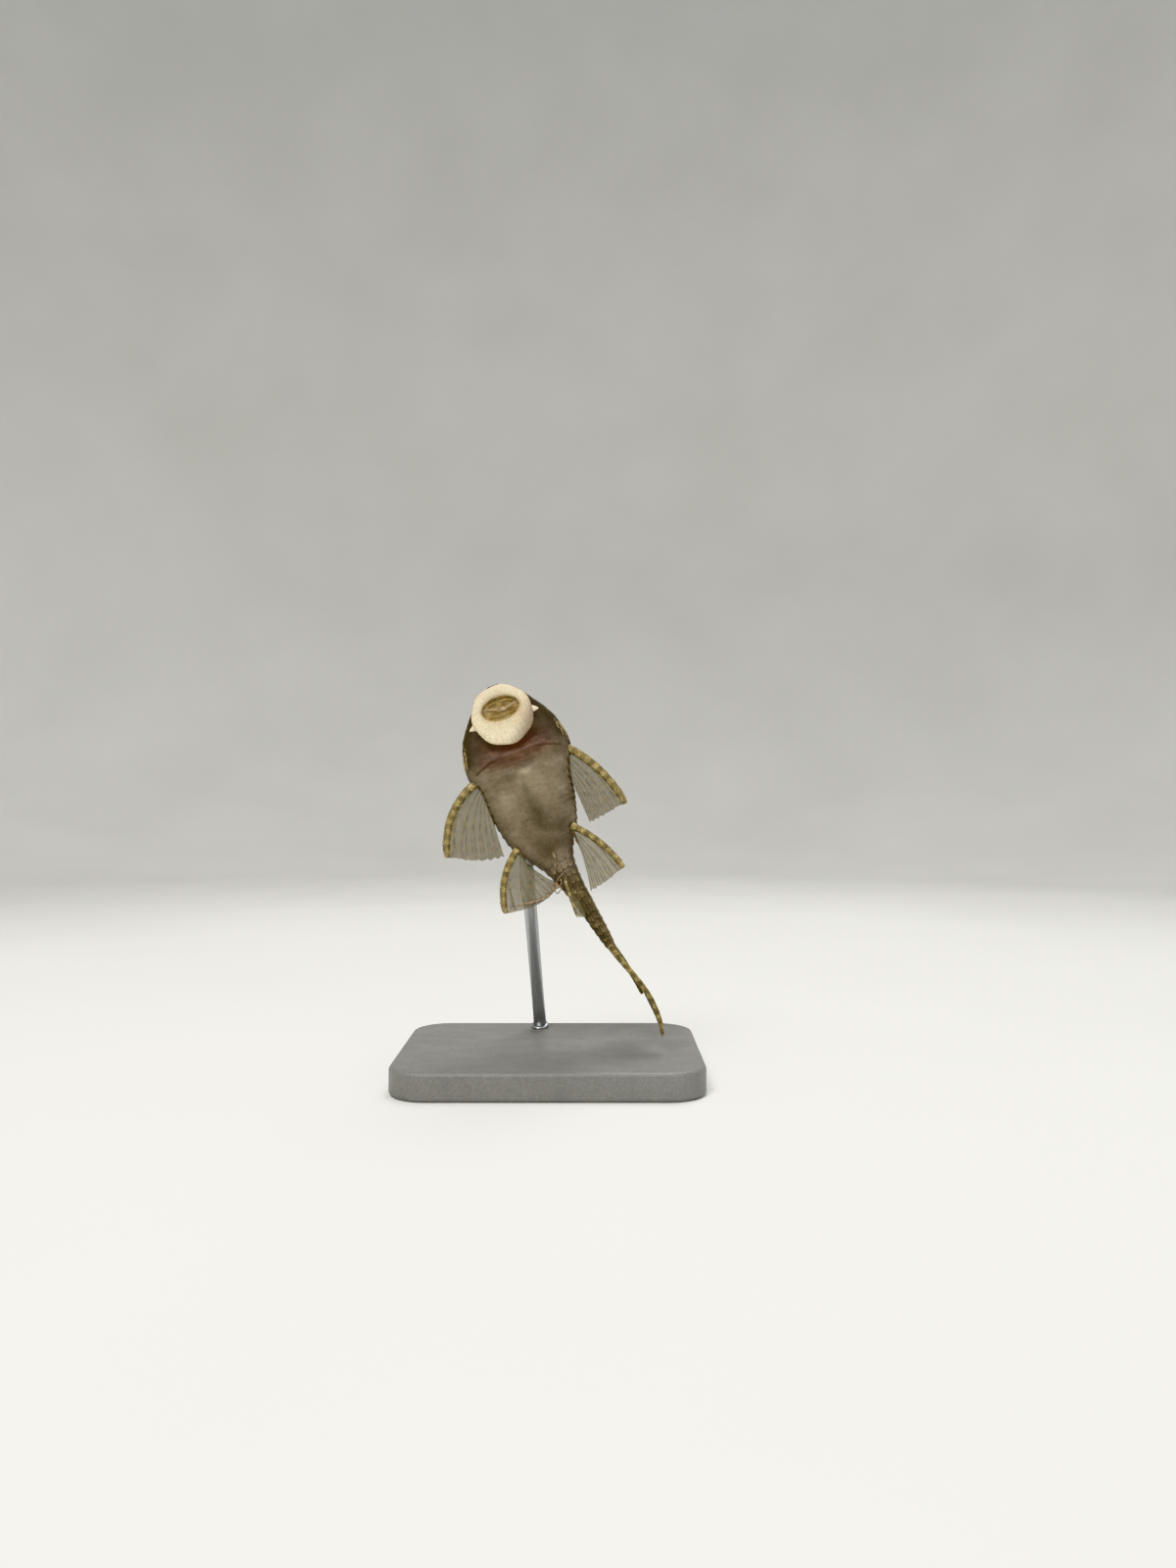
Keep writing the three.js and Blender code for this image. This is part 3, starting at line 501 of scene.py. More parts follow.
def fin_material(name, membrane, ray, spine, clear):
    """A thin see-through skin on stiff rays, with dark dashes along them, and a gritty spine."""
    paint = Paint(name)
    bone, spiny, reach = paint.values("ray spiny reach")
    shaded = paint.mix(0.5, membrane, ray)
    web = paint.mix(paint.blotches(0.35, 0.7, 1.1, 4), membrane, shaded)
    blotch = paint.ramp(paint.noise(0.45, 3), (0.35, 0.0), (0.65, 0.4))
    rays = paint.mix(blotch, ray, spine)
    beat = paint.maths("MULTIPLY_ADD", reach, 3.3, paint.times(paint.value("row"), 2.1))
    dashes = paint.maths("ADD", paint.maths("SINE", beat), paint.noise(1.2, 2))
    dashes = paint.ramp(dashes, (0.75, 0.0), (1.1, 1.0))
    rays = paint.over(rays, "382e18", dashes, 0.5)
    colour = paint.mix(bone, web, rays)
    dark = paint.ramp(paint.noise(0.55, 4, 0.65), (0.4, "302612"), (0.55, "705e34"))
    bars = paint.maths("SINE", paint.times(reach, 4.6))
    bars = paint.maths("ADD", bars, paint.noise(0.8, 3))
    bars = paint.ramp(bars, (0.1, 0.25), (1.1, 1.0))
    grit = paint.blotches(0.42, 0.62, 0.22, 4, 0.7)
    speckle = paint.mix(paint.times(grit, bars), dark, spine)
    colour = paint.mix(spiny, colour, speckle)
    see = paint.maths("MULTIPLY_ADD", paint.noise(0.8, 3), 0.2, clear)
    alpha = paint.maths("MAXIMUM", paint.maths("MAXIMUM", bone, spiny), see)
    joints = paint.maths("SINE", paint.times(reach, 26.0))
    lift = paint.times(paint.times(joints, bone), 0.5)
    normal = paint.bump(lift, 0.03, 0.7)
    normal = paint.bump(paint.noise(0.14, 3), 0.015, 0.6, normal)
    return paint.done(colour, 0.4, normal, coat=(0.25, 0.2), flesh=(0.1, 0.0004), Alpha=alpha)


def denticle_material():
    paint = Paint("denticles")
    # Darker at the root and pale cream at the tip: partly the denticles' own colour, partly painted
    # glints, brightened to stand for the bright arcs along the head's margins and the spines' outer edges
    colour = paint.ramp(paint.value("tip"), (0.0, "64522e"), (0.5, "b09c68"), (1.0, "e4d4a4"))
    dirty = paint.ramp(paint.noise(1.1, 3), (0.38, 0.0), (0.66, 0.7))
    colour = paint.mix(dirty, colour, "504224")
    return paint.done(colour, 0.35, coat=(0.2, 0.2))


def flesh_material():
    """Soft brownish flesh with pale tips, for the tentacles and the nostril flaps."""
    paint = Paint("flesh")
    root = paint.ramp(paint.noise(0.4, 4, 0.6), (0.35, "3a2e1a"), (0.65, "5e4c30"))
    tip = paint.ramp(paint.value("tip"), (0.3, 0.0), (1.0, 0.85))
    colour = paint.mix(tip, root, "8e7a56")
    normal = paint.bump(paint.noise(0.12, 3), 0.02, 0.7)
    return paint.done(colour, 0.45, normal, coat=(0.15, 0.25), flesh=(0.15, 0.0004))


def margin_material():
    """Bunched pinkish skin, for the vent's folds and the curled margin of the right pelvic fin."""
    paint = Paint("margin")
    colour = paint.ramp(paint.noise(0.55, 4, 0.6), (0.3, "544634"), (0.5, "78664e"), (0.7, "a29274"))
    normal = paint.bump(paint.noise(0.16, 4), 0.03, 0.8)
    return paint.done(colour, 0.42, normal, coat=(0.2, 0.2), flesh=(0.2, 0.0004))


def tooth_material():
    paint = Paint("teeth")
    colour = paint.ramp(paint.value("tip"), (0.0, "cec092"), (0.6, "c4a068"), (1.0, "926236"))
    colour = paint.mix(paint.ramp(paint.noise(0.2), (0.4, 0.0), (0.7, 0.3)), colour, "ece2ba")
    return paint.done(colour, 0.25, coat=(0.4, 0.1))


def eye_material():
    paint = Paint("eye")
    iris, pupil = paint.values("iris pupil")
    gold = paint.ramp(paint.noise(0.14, 5, 0.7), (0.3, "2e220e"), (0.5, "604a22"), (0.72, "9e8246"))
    colour = paint.mix(iris, "181309", gold)
    colour = paint.mix(pupil, colour, "030304")
    normal = paint.bump(paint.noise(0.3, 2), 0.004, 0.3)
    return paint.done(colour, 0.2, normal, coat=(0.8, 0.03))


def stand_material():
    paint = Paint("stand")
    colour = paint.ramp(paint.noise(0.35, 3, 0.6), (0.3, "6e6d69"), (0.7, "7e7d79"))
    colour = paint.mix(paint.ramp(paint.noise(9, 3), (0.4, 0.0), (0.7, 0.3)), colour, "666562")
    normal = paint.bump(paint.noise(0.22, 4, 0.6), 0.03, 0.5)
    roughness = paint.ramp(paint.noise(4, 4), (0.35, 0.4), (0.7, 0.54))
    return paint.done(colour, roughness, normal, Specular_IOR_Level=0.4)


def rod_material():
    paint = Paint("rod")
    brushed = paint.node("ShaderNodeMapping", {"Vector": paint.place, "Scale": (24000, 24000, 240)})
    inputs = {"Vector": brushed.outputs[0], "Scale": 1.0, "Detail": 3.0}
    streaks = paint.node("ShaderNodeTexNoise", inputs).outputs["Fac"]
    colour = paint.ramp(streaks, (0.3, "a0a2a4"), (0.7, "b8b9ba"))
    roughness = paint.ramp(streaks, (0.3, 0.3), (0.7, 0.42))
    normal = paint.bump(streaks, 0.01, 0.4)
    return paint.done(colour, roughness, normal, Metallic=1.0)


def stage_material():
    paint = Paint("stage")
    colour = paint.ramp(paint.noise(60, 2), (0.3, "dbdad6"), (0.7, "e0dfdb"))
    return paint.done(colour, 0.8)


# Meshes


def place_object(name, data, place):
    piece = bpy.data.objects.new(name, data)
    piece.location = Vector(place) * MM
    bpy.context.scene.collection.objects.link(piece)
    return piece


def make_object(name, points, faces, material, values=None, uv=None, soft=True):
    """A piece from points in millimetres, its faces, and named values at its points."""
    mesh = bpy.data.meshes.new(name)
    mesh.from_pydata((np.asarray(points).reshape(-1, 3) * MM).tolist(), [], faces)
    for key, numbers in (values or {}).items():
        layer = mesh.attributes.new(key, "FLOAT", "POINT")
        layer.data.foreach_set("value", np.ravel(numbers).astype(np.float32))
    if uv is not None:
        layer = mesh.uv_layers.new(name="OFBake")
        corners = np.zeros(len(mesh.loops), np.int32)
        mesh.loops.foreach_get("vertex_index", corners)
        layer.data.foreach_set("uv", uv[corners].astype(np.float32).ravel())
    mesh.polygons.foreach_set("use_smooth", [soft] * len(mesh.polygons))
    mesh.materials.append(material)
    return place_object(name, mesh, (0, 0, 0))


def finish_piece(piece, slot, *nodes):
    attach(piece, "root")
    if nodes:
        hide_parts(*nodes)


def grid_faces(rows, columns, around=False):
    """Quads over a grid of points, row by row, closed round each row where asked."""
    r = np.arange(rows - 1)[:, None]
    c = np.arange(columns if around else columns - 1)[None, :]
    onward = (c + 1) % columns
    near, far = r * columns, (r + 1) * columns
    return np.stack([near + c, near + onward, far + onward, far + c], -1).reshape(-1, 4)


def outward_faces(points, faces):
    """The same faces, turned round where the solid they close would be inside out."""
    flat = np.asarray(points).reshape(-1, 3)
    a, b, c, d = (flat[faces[:, k]] for k in range(4))
    volume = np.sum(a * (np.cross(b, c) + np.cross(c, d)))
    return faces[:, ::-1] if volume < 0 else faces


def tube_faces(rings, start=0):
    """The faces round a row of rings, with a cap at each end, all turned outward."""
    count, columns = rings.shape[:2]
    plain = grid_faces(count, columns, around=True)
    quads = outward_faces(rings, plain)
    near = np.arange(columns)
    far = near[::-1] + (count - 1) * columns
    same = np.array_equal(quads[0], plain[0])
    caps = [end[::-1] if same else end for end in (near, far)]
    return (quads + start).tolist() + [(cap + start).tolist() for cap in caps]


def rings_round(middle, size, way, beside, sides):
    """Rings of points round each middle, square to a way and first drawn to one side of it."""
    across = unit(np.cross(way, beside))
    turn = turns(sides)[:, None]
    return middle + size * (across * np.cos(turn) + np.cross(way, across) * np.sin(turn))


def tube(name, rings, material, values=None):
    """A closed piece through rings of points, whose first and last rings are small."""
    return make_object(name, rings, tube_faces(rings), material, values)


def on_sheet(share):
    """A place on the unwrap's sheet, a little in from its edges."""
    return 0.02 + 0.96 * share


# The skin


def make_skin(material):
    """One skin from snout to tail root, with the values that its colours are mixed by."""
    nose = [(0.0, -0.43, 0.24), (0.0, -0.38, 0.22), (0.0, -0.26, 0.16), (0.0, -0.12, 0.08)]
    head = HEAD_END * np.linspace(0, 1, HEAD_ROWS) ** 1.25
    rest = np.linspace(HEAD_END, BODY_END, BODY_ROWS)[1:]
    places = [(s, 0.0, 0.0) for s in np.concatenate([head, rest])]
    end = [(BODY_END, -0.15, -0.1), (BODY_END, -0.4, -0.15)]
    rows = np.array(nose + places + end)
    angles = np.arange(0, 360, 360 / SKIN_COLUMNS) + 0.4
    s, angle = np.broadcast_arrays(rows[:, :1], angles)
    points = skin_at(s, angle, rows[:, 1:2], rows[:, 2:3])
    place = sheared(s, angle)
    side = edge_at(place, angle)[0]
    along, across, cover = armour_place(s, angle)
    under = band(angle, 194, 214, 326, 346)
    bare = under * fade(25, 29, place)
    behind_lips = smooth(6.3, 8, place) * fade(11.2, 12.8, place + 0.05 * side**2)
    edge = hill(np.abs(side) - follow(HALF_WIDTH, place), 2.0) * fade(9.4, 10.8, place)
    values = {
        "belly": under * fade(27, 32, place),
        "throat": bare * behind_lips * fade(4.8, 6.8, np.abs(side)) * 0.95,
        "crown": band(angle, 10, 40, 140, 170) * fade(10.5, 11.5, s),
        "tail": smooth(24, 32, place),
        "plate": cover * along,
        "seam": cover * np.maximum(np.abs(2 * across - 1) ** 10, fade(0.0, 0.12, along)),
        "naked": bare,
        "cheek": np.clip(under * edge * 1.35, 0, 1) * 0.95,
    }
    for key, patches in (("flush", FLUSH), ("pale", PALE), ("dusk", DUSK)):
        values[key] = 0
        for at_s, at_side, squeeze, narrow, width, strength in patches:
            away = np.hypot((place - at_s) * squeeze, (side - at_side) * narrow)
            values[key] = values[key] + bare * hill(away, width) * strength
    skin = tube("skin", points, material, values)
    finish_piece(skin, "skin", "head", "torso", "tail")


def make_eye(word, angle, material):
    """The eyeball at an angle round the head, with the values that colour its iris and pupil."""
    side, rim = edge_at(sheared(EYE_S, angle), angle, EYE_RIM_HEIGHT)
    out = outward_at(EYE_S, angle)
    centre = point_at(sheared(EYE_S, angle), side, rim) - out * EYE_SUNK
    polar = np.linspace(0.02, math.pi - 0.02, 60)[:, None, None]
    middle = centre + EYE_RADIUS * np.cos(polar) * out
    back = directions(EYE_S)[2]
    points = rings_round(middle, EYE_RADIUS * np.sin(polar), out, -back, EYE_SIDES)
    radius = np.sin(polar[..., 0]) * np.ones(EYE_SIDES)
    front = polar[..., 0] < math.pi / 2
    lobe = 0.2 * hill(turns(EYE_SIDES) - math.pi / 2, 0.5)
    pupil = fade(0.36, 0.42, radius + lobe) * front
    iris = fade(0.66, 0.76, radius) * front
    eye = tube(f"eye_{word}_ball", points, material, {"pupil": pupil, "iris": iris})
    finish_piece(eye, "eye", f"eye_{word}")


# Horns and denticles


def horn_rings(root, way, bend, length, radius, tip, sides=12, steps=10):
    """Rings of a horn that leaves its root one way and bends another, tapering to a round tip."""
    way = unit(way)
    t = np.linspace(0, 1, steps + 1)[:, None, None]
    size = radius + (tip - radius) * t**1.5
    size = size * np.sqrt(1 - smooth(0.9, 1.02, t) * 0.9)
    return rings_round(root + way * length * t + bend * length * t**2, size, way, bend, sides)


def flattened(rings, way, share):
    """The same rings, pressed flat along a way by a share of their depth."""
    middle = rings.mean(1, keepdims=True)
    return rings - ((rings - middle) @ way)[..., None] * way * share


def joined_horns(name, horns, material, slot):
    """Many small horns as one mesh. Each has rings of points and the place of its UV patch."""
    points, faces, tips, uvs = [], [], [], []
    start = 0
    for rings, patch in horns:
        steps, sides = rings.shape[:2]
        points.append(rings.reshape(-1, 3))
        faces += tube_faces(rings, start)
        t = np.repeat(np.linspace(0, 1, steps), sides)
        tips.append(t)
        turn = np.tile(turns(sides), steps)
        spread = UV_SPOT * (0.35 + 0.65 * t)
        uvs.append(np.stack([patch[0] + spread * np.cos(turn), patch[1] + spread * np.sin(turn)], -1))
        start += steps * sides
    values = {"tip": np.concatenate(tips)}
    piece = make_object(name, np.concatenate(points), faces, material, values, np.concatenate(uvs))
    finish_piece(piece, slot)


def thorns(name, roots, ways, lengths, radii, patches, material, slot="skin"):
    """Thousands of three-sided denticles as one mesh, each a pyramid sunk a little in the skin."""
    ways = unit(ways)
    beside = random.normal(size=ways.shape)
    feet = rings_round(roots[:, None], radii[:, None, None], ways[:, None], beside[:, None], 3)
    points = np.concatenate([feet, (roots + ways * lengths[:, None])[:, None]], 1)
    base = np.arange(len(roots))[:, None] * 4
    sides = ((0, 1, 3), (1, 2, 3), (2, 0, 3), (2, 1, 0))
    faces = np.concatenate([base + np.array(face) for face in sides])
    tips = np.tile([0, 0, 0, 1.0], len(roots))
    offset = UV_SPOT * np.array([[1, 0], [-0.5, 0.87], [-0.5, -0.87], [0, 0]])
    uv = (patches[:, None, :] + offset[None]).reshape(-1, 2)
    piece = make_object(name, points, faces.tolist(), material, {"tip": tips}, uv, soft=False)
    finish_piece(piece, slot)


def skin_patch(s, angle):
    """Where a point of the skin lies on its unwrap: round the body, and along it."""
    return on_sheet(np.stack([np.mod(angle, 360) / 360, np.asarray(s) / LINE_END], -1))


def skin_thorns(name, s, angle, length, radius, sunk, lean, lift, stray, material):
    """Denticles on the skin: how deep they are sunk, lean back, stand out and stray."""
    out = outward_at(s, angle)
    ways = directions(s)[0] * lean + out * lift + stray
    roots = skin_at(s, angle) - out * sunk
    thorns(name, roots, ways, length, radius, skin_patch(s, angle), material)


def body_denticles(material):
    """Rows of denticles on the rear edge of each plate, and a finer scatter over its face."""
    spots_s, spots_angle, lengths = [], [], []
    for plate in range(PLATE_COUNT):
        for row in range(ROWS_ROUND):
            edge = random.uniform(0.06, 0.94, 9)
            face = random.uniform(0.05, 0.95, 12)
            across = np.concatenate([np.sort(edge), face])
            along = np.concatenate([np.full(9, 0.93), random.uniform(0.25, 0.9, 12)])
            spots_s.append(PLATE_START + (plate + along + plate_shift(across, row)) * PLATE_PITCH)
            spots_angle.append(ARMOUR_EDGE + (row + across) / ROWS_ROUND * ARMOUR_SPAN)
            lengths += [random.uniform(0.13, 0.2, 9), random.uniform(0.08, 0.14, 12)]
    s, angle, length = (np.concatenate(part) for part in (spots_s, spots_angle, lengths))
    keep = (s < BODY_END - 0.2) & (s > PLATE_START)
    s, angle, length = s[keep], angle[keep], length[keep]
    stray = random.normal(size=(len(s), 3)) * 0.08
    skin_thorns("plate_denticles", s, angle, length, 0.14 * length + 0.014, 0.02, 0.9, 0.42, stray,
                material)

    s = HEAD_END * random.uniform(0.12, 1.12, HEAD_DENTICLES)
    angle = random.uniform(-4, 184, HEAD_DENTICLES)
    far = (off_spot(s, angle, EYE_S, EYE_ANGLE) > 1.35) & (s * (1 + 0.2 * np.sin(np.radians(angle))) > 1.7)
    s, angle = s[far], angle[far]
    length = random.uniform(0.07, 0.14, len(s))
    skin_thorns("head_denticles", s, angle, length, length * 0.22, 0.015, 0.8, 0.6, 0, material)


def snout_tentacles(material):
    """The short soft tentacles along the snout's rim, longest in the middle."""
    horns = []
    for k in range(TENTACLES):
        across = -0.93 + 1.86 * (k + 0.2 + 0.6 * random.random()) / TENTACLES
        angle = 90 - 64 * across
        s = 0.7 + 0.75 * across**2
        tail = directions(s)[0]
        way = unit(outward_at(s, angle) - 0.7 * tail)
        length = (0.75 - 0.35 * abs(across)) * (0.6 + 0.6 * random.random()) + 0.5
        radius = 0.17 + 0.07 * random.random()
        rings = horn_rings(skin_at(s, angle) - way * 0.45, way, -0.1 * tail, length, radius, 0.07)
        horns.append((rings, skin_patch(s, angle)))
    joined_horns("snout_tentacles", horns, material, "skin")


def cheek_spines(material):
    """Hooked spines that lie back in a tuft along each cheek, with finer bristles ahead of them."""
    horns = []
    for sign in (1, -1):
        for k in range(CHEEK_SPINES):
            late = k / (CHEEK_SPINES - 1)
            s = 6.3 + 2.7 * late + 0.12 * random.random()
            tilt = -17 - 7 * (k % 3) + 3 * random.random()
            angle = tilt if sign > 0 else 180 - tilt
            tail, side, _ = directions(s)
            out = outward_at(s, angle)
            way = out * 0.42 + tail * (0.85 + 0.2 * late)
            root = skin_at(s, angle) - out * 0.12
            length = 0.6 + 0.8 * math.sin(math.pi * late * 0.85) ** 1.5
            bend = -0.1 * tail - 0.06 * side * sign
            rings = horn_rings(root, way, bend, length, 0.065 + 0.035 * late, 0.015, 7, 7)
            horns.append((rings, skin_patch(s, angle)))
    joined_horns("cheek_spines", horns, material, "skin")


def nostril_flaps(material):
    horns = []
    s = NOSTRIL_S + 0.18
    tail = directions(s)[0]
    for angle in (NOSTRIL_ANGLE, 180 - NOSTRIL_ANGLE):
        out = outward_at(s, angle)
        rings = horn_rings(skin_at(s, angle) - out * 0.1, out, -0.25 * tail, 0.75, 0.32, 0.16, 14, 8)
        horns.append((flattened(rings, tail, 0.72), skin_patch(s, angle)))
    joined_horns("nostril_flaps", horns, material, "skin")


def rope(middle, size, sides):
    """Rings of the given sizes round a line of points."""
    onward = unit(np.gradient(middle, axis=0))
    return rings_round(middle[:, None], size[:, None, None], onward[:, None], (0.0, 1.0, 0.0), sides)


def strand(points, thick, sides=12, steps=40):
    """Rings of a soft strand through points, given as [s, side, level] of the body."""
    knots = np.array(points, float)
    t = np.linspace(0, len(knots) - 1, steps)
    table = [[[k, value] for k, value in enumerate(column)] for column in knots.T]
    s, side, level = (follow(column, t) for column in table)
    size = thick * np.sqrt(np.clip(np.sin(math.pi * np.linspace(0.03, 0.97, steps)), 0, 1))
    return rope(point_at(s, side, level), size * (1 + 0.12 * np.sin(t * 9)), sides)


def vent_folds(material):
    """The papilla behind the vent and the loose pinkish folds of skin that gather round it."""
    s = 25.0
    tail, _, back = directions(s)
    root = point_at(s, 0.1, follow(BELLY, s) + 0.35)
    rings = horn_rings(root, tail * 0.85 - back * 0.5, tail * 0.2, 1.1, 0.22, 0.1, 16, 14)
    horns = [(rings, skin_patch(s, 270))]
    for number, (points, thick) in enumerate(VENT_STRANDS):
        horns.append((strand(points, thick), skin_patch(s + 0.4 * number, 262)))
    joined_horns("vent_folds", horns, material, "skin")


# The sucker mouth


def disc_point(along, side, level):
    """A point near the disc: so far to the tail, to the left and to the back of its centre."""
    onward = directions(DISC_S)[0] * np.asarray(along)[..., None]
    return point_at(DISC_S, side, level) + onward


def disc_outline(out, within, turn):
    """Along and side of a point of the disc, from the mouth's edge at out 0 to the rim at 1."""
    mouth_along = MOUTH_S - DISC_S + MOUTH_HIGH * within * np.cos(turn)
    along = blended(mouth_along, DISC_RADIUS * np.cos(turn), out)
    return along, blended(MOUTH_WIDE * within, DISC_RADIUS, out) * np.sin(turn)


def papillae(along, side):
    """Rounded papillae, crowded but in no order: the height at each point, 0 to 1."""
    spacing = 0.27
    seeds = []
    for row in range(-20, 21):
        for column in range(-20, 21):
            x = (column + 0.5 * (row % 2)) * spacing + random.uniform(-0.1, 0.1)
            y = row * spacing * 0.87 + random.uniform(-0.1, 0.1)
            seeds.append((x, y, random.uniform(0.07, 0.15), random.uniform(0.35, 1)))
    tree = kdtree.KDTree(len(seeds))
    for k, (x, y, _, _) in enumerate(seeds):
        tree.insert((x, y, 0), k)
    tree.balance()
    heights = np.zeros(along.shape)
    for place, (a, b) in enumerate(zip(along.ravel(), side.ravel())):
        _, k, distance = tree.find((a, b, 0))
        heights.flat[place] = max(0.0, 1 - (distance / seeds[k][2]) ** 2) ** 0.7 * seeds[k][3]
    return heights


def make_disc(material):
    """The lips as one ring: a cup round the mouth, papillae over its face, and a crimped rim."""
    row = np.concatenate([np.linspace(0, 1, 14)[:-1], np.linspace(1, 6.7, 124), [7.0, 7.2]])[:, None]
    turn = turns(344)[None, :]
    out = follow(LIP_REACH, row) * np.ones_like(turn)
    level = follow(LIP_LEVEL, row) * np.ones_like(turn)
    along, side = disc_outline(out, follow(LIP_INNER, row), turn)
    knobs = papillae(along, side)
    rear = smooth(-0.6, 1.6, along + 0.2 * np.abs(side))
    on_lip = band(out, 0.02, 0.12, 0.95, 1.0) * (row < 6.3)
    level = level - on_lip * knobs * (0.035 + 0.06 * rear)
    swell = 0.07 * np.sin(turn * 3 + 1) + 0.05 * np.sin(turn * 5 + 2.4) * (1 - out)
    level = level + on_lip * swell * out
    in_mouth = fade(0.0, 0.05, out) * (row < 1.2)
    folds = np.sin(side * 2.6 + 0.8) * np.cos(along * 3.1) + 0.4 * np.sin(along * 6)
    level = level - 0.1 * in_mouth * folds
    jaw_fold = hill(along - (MOUTH_S - DISC_S) - 0.35 + 0.3 * np.abs(side - 0.4), 0.16)
    level = level - 0.3 * in_mouth * jaw_fold * fade(1.6, 2.3, np.abs(side))
    rim = smooth(0.86, 1.0, out) * (row > 4)
    crimp = np.sin(turn * 46 + 1.4 * np.sin(turn * 3)) * (0.6 + 0.4 * np.sin(turn * 5 + 1))
    fringe = 1 + rim * (0.006 * crimp + 0.016 * np.sin(turn * 7 + 0.5) - 0.01 * np.cos(turn * 2))
    furrows = 0.03 * smooth(0.6, 1.0, out) * (row > 4) * crimp
    lip_notch = 0.16 * hill(side, 0.35) * smooth(0.5, 1.0, out) * (along > 0)
    points = disc_point(along * fringe, side * fringe, level + furrows + lip_notch)
    streak = 0.5 + 0.5 * np.sin(turn * 33 + 2.2 * np.sin(turn * 5))
    values = {
        # out: 0 to 0.8 from the mouth to the rim, then up to 1 over the wall behind the rim, which the
        # lips' ramp darkens as painted shade
        "out": np.where(row < 6.1, 0.8 * out, 0.8 + 0.2 * smooth(6.1, 7.0, row)),
        # papilla: the papillae's height, which drives the painted highlight on their tops and the painted
        # shade between them
        "papilla": knobs * on_lip,
        "streak": streak * band(out, 0.3, 0.6, 0.9, 1.0) * (row > 2),
        "inside": fade(0.02, 0.13, out) * (row < 3) * (1 - 0.75 * in_mouth * jaw_fold),
        # lower: painted shade, strongest towards the tail and the fish's left
        "lower": smooth(1.4, 4.4, 0.6 * along + 0.8 * side) * 0.85,
    }
    disc = tube("sucker_lips", points, material, values)
    finish_piece(disc, "lips", "oral_disc")


def make_teeth(material):
    """Two upper and two lower combs of fine teeth with amber tips, along the mouth's edges."""
    tail, left, back = directions(DISC_S)
    horns = []
    for jaw in (-1, 1):
        for half in (-1, 1):
            for tooth in range(TOOTH_COUNT):
                across = half * (0.12 + 0.6 * tooth / (TOOTH_COUNT - 1)) * MOUTH_WIDE
                inset = MOUTH_HIGH * math.sqrt(1 - (across / MOUTH_WIDE) ** 2) - 0.18
                sag = 0.16 * (1 - abs(across) / MOUTH_WIDE)
                root = disc_point(MOUTH_S - DISC_S + jaw * (inset - sag), across, MOUTH_FLOOR + 0.06)
                way = -back - 0.32 * jaw * tail + 0.05 * random.normal() * left
                length = 0.5 + 0.06 * random.random()
                rings = horn_rings(root, way, -0.28 * jaw * tail, length, 0.034, 0.02, 5, 4)
                horns.append((rings, (0.02 + 0.009 * tooth + 0.45 * (half > 0), 0.3 + 0.2 * (jaw > 0))))
    joined_horns("teeth", horns, material, "lips")


def make_barbels(material):
    """A short broad barbel at each corner of the lips."""
    tail, left, back = directions(DISC_S)
    for word, sign in (("left", 1), ("right", -1)):
        root = disc_point(0.32, sign * (DISC_RADIUS - 0.75), -3.1)
        rings = horn_rings(root, left * sign + tail * 0.25, back * -0.1, 1.62, 0.66, 0.08, 28, 30)
        rings = flattened(rings, back, 0.35)
        out = np.linspace(0.5, 0.66, len(rings))[:, None] * np.ones(28)
        zero = np.zeros(out.shape)
        # The barbels take mid-lip tones, half the papillae's painted highlight, and a little of the lips'
        # painted shade
        values = {"out": out, "papilla": zero + 0.5, "inside": zero, "lower": zero + 0.1}
        barbel = tube(f"barbel_{word}", rings, material, values)
        finish_piece(barbel, "lips")


# Fins


def arc(length, start, end, t):
    """How far a line goes ahead and aside as it turns evenly from one heading to another."""
    first = np.radians(start)
    turned = np.radians(end - start) * t
    turned = np.where(np.abs(turned) < 1e-6, 1e-6, turned)
    scale = length * t / turned
    ahead = scale * (np.sin(first + turned) - np.sin(first))
    aside = scale * (np.cos(first) - np.cos(first + turned))
    return ahead, aside


def on_grid(place):
    """Lets a fin's place take numbers or arrays of any shapes that fit each other."""
    return lambda v, t: place(*np.broadcast_arrays(np.asarray(v, float), np.asarray(t, float)))


def paired_place(root, sign, forward, outer, inner, lengths):
    """The middle surface of a fin spread beside the body: v from its spine inward, t outward.
    Its spine and its inner edge turn from one heading to another, in degrees."""
    s0, side0, level0, base, drop = root

    @on_grid
    def place(v, t):
        tail, side, _ = directions(s0)
        bend = v**0.75
        start, end = blended(outer[0], inner[0], bend), blended(outer[1], inner[1], bend)
        ahead, aside = arc(blended(*lengths, bend), start, end, t)
        level = level0 - drop * t + 0.35 * np.sin(math.pi * v) * t**2
        foot = point_at(s0 - forward + base * v, sign * (side0 - 0.15 * v), level)
        return foot + tail * ahead[..., None] + side * (sign * aside)[..., None]
    return place


def midline_place(table, foot, lengths, power, first, last, sunk, sway=0.0, tilt=0.0):
    """The middle surface of a fin on the midline of the back or the belly: v from front to rear,
    t outward. Its front and its rear edge turn from a first heading to a last, in degrees."""
    up = 1 if table is BACK else -1

    @on_grid
    def place(v, t):
        s = blended(*foot, v)
        length = blended(*lengths, v**power) + sunk
        ahead, rise = arc(length, blended(*first, v), blended(*last, v), t)
        tail, side, back = directions(s)
        way = up * (back * math.cos(math.radians(tilt)) + side * math.sin(math.radians(tilt)))
        root = point_at(s, sway * np.sin(math.pi * v) * t, follow(table, s) - up * sunk)
        return root + tail * ahead[..., None] + way * rise[..., None]
    return place


@on_grid
def caudal_place(v, t):
    across = 1 - 2 * v
    length = blended(12.4, 14.8, v) - 3.4 * (1 - across**2)
    s = BODY_END - 0.7 + t * length
    level = blended(across * 1.95, across * blended(5.6, 6.4, v), np.sin(1.4 * t) / math.sin(1.4))
    return point_at(s, 0.2 * np.sin(2 * math.pi * v) * t, level)


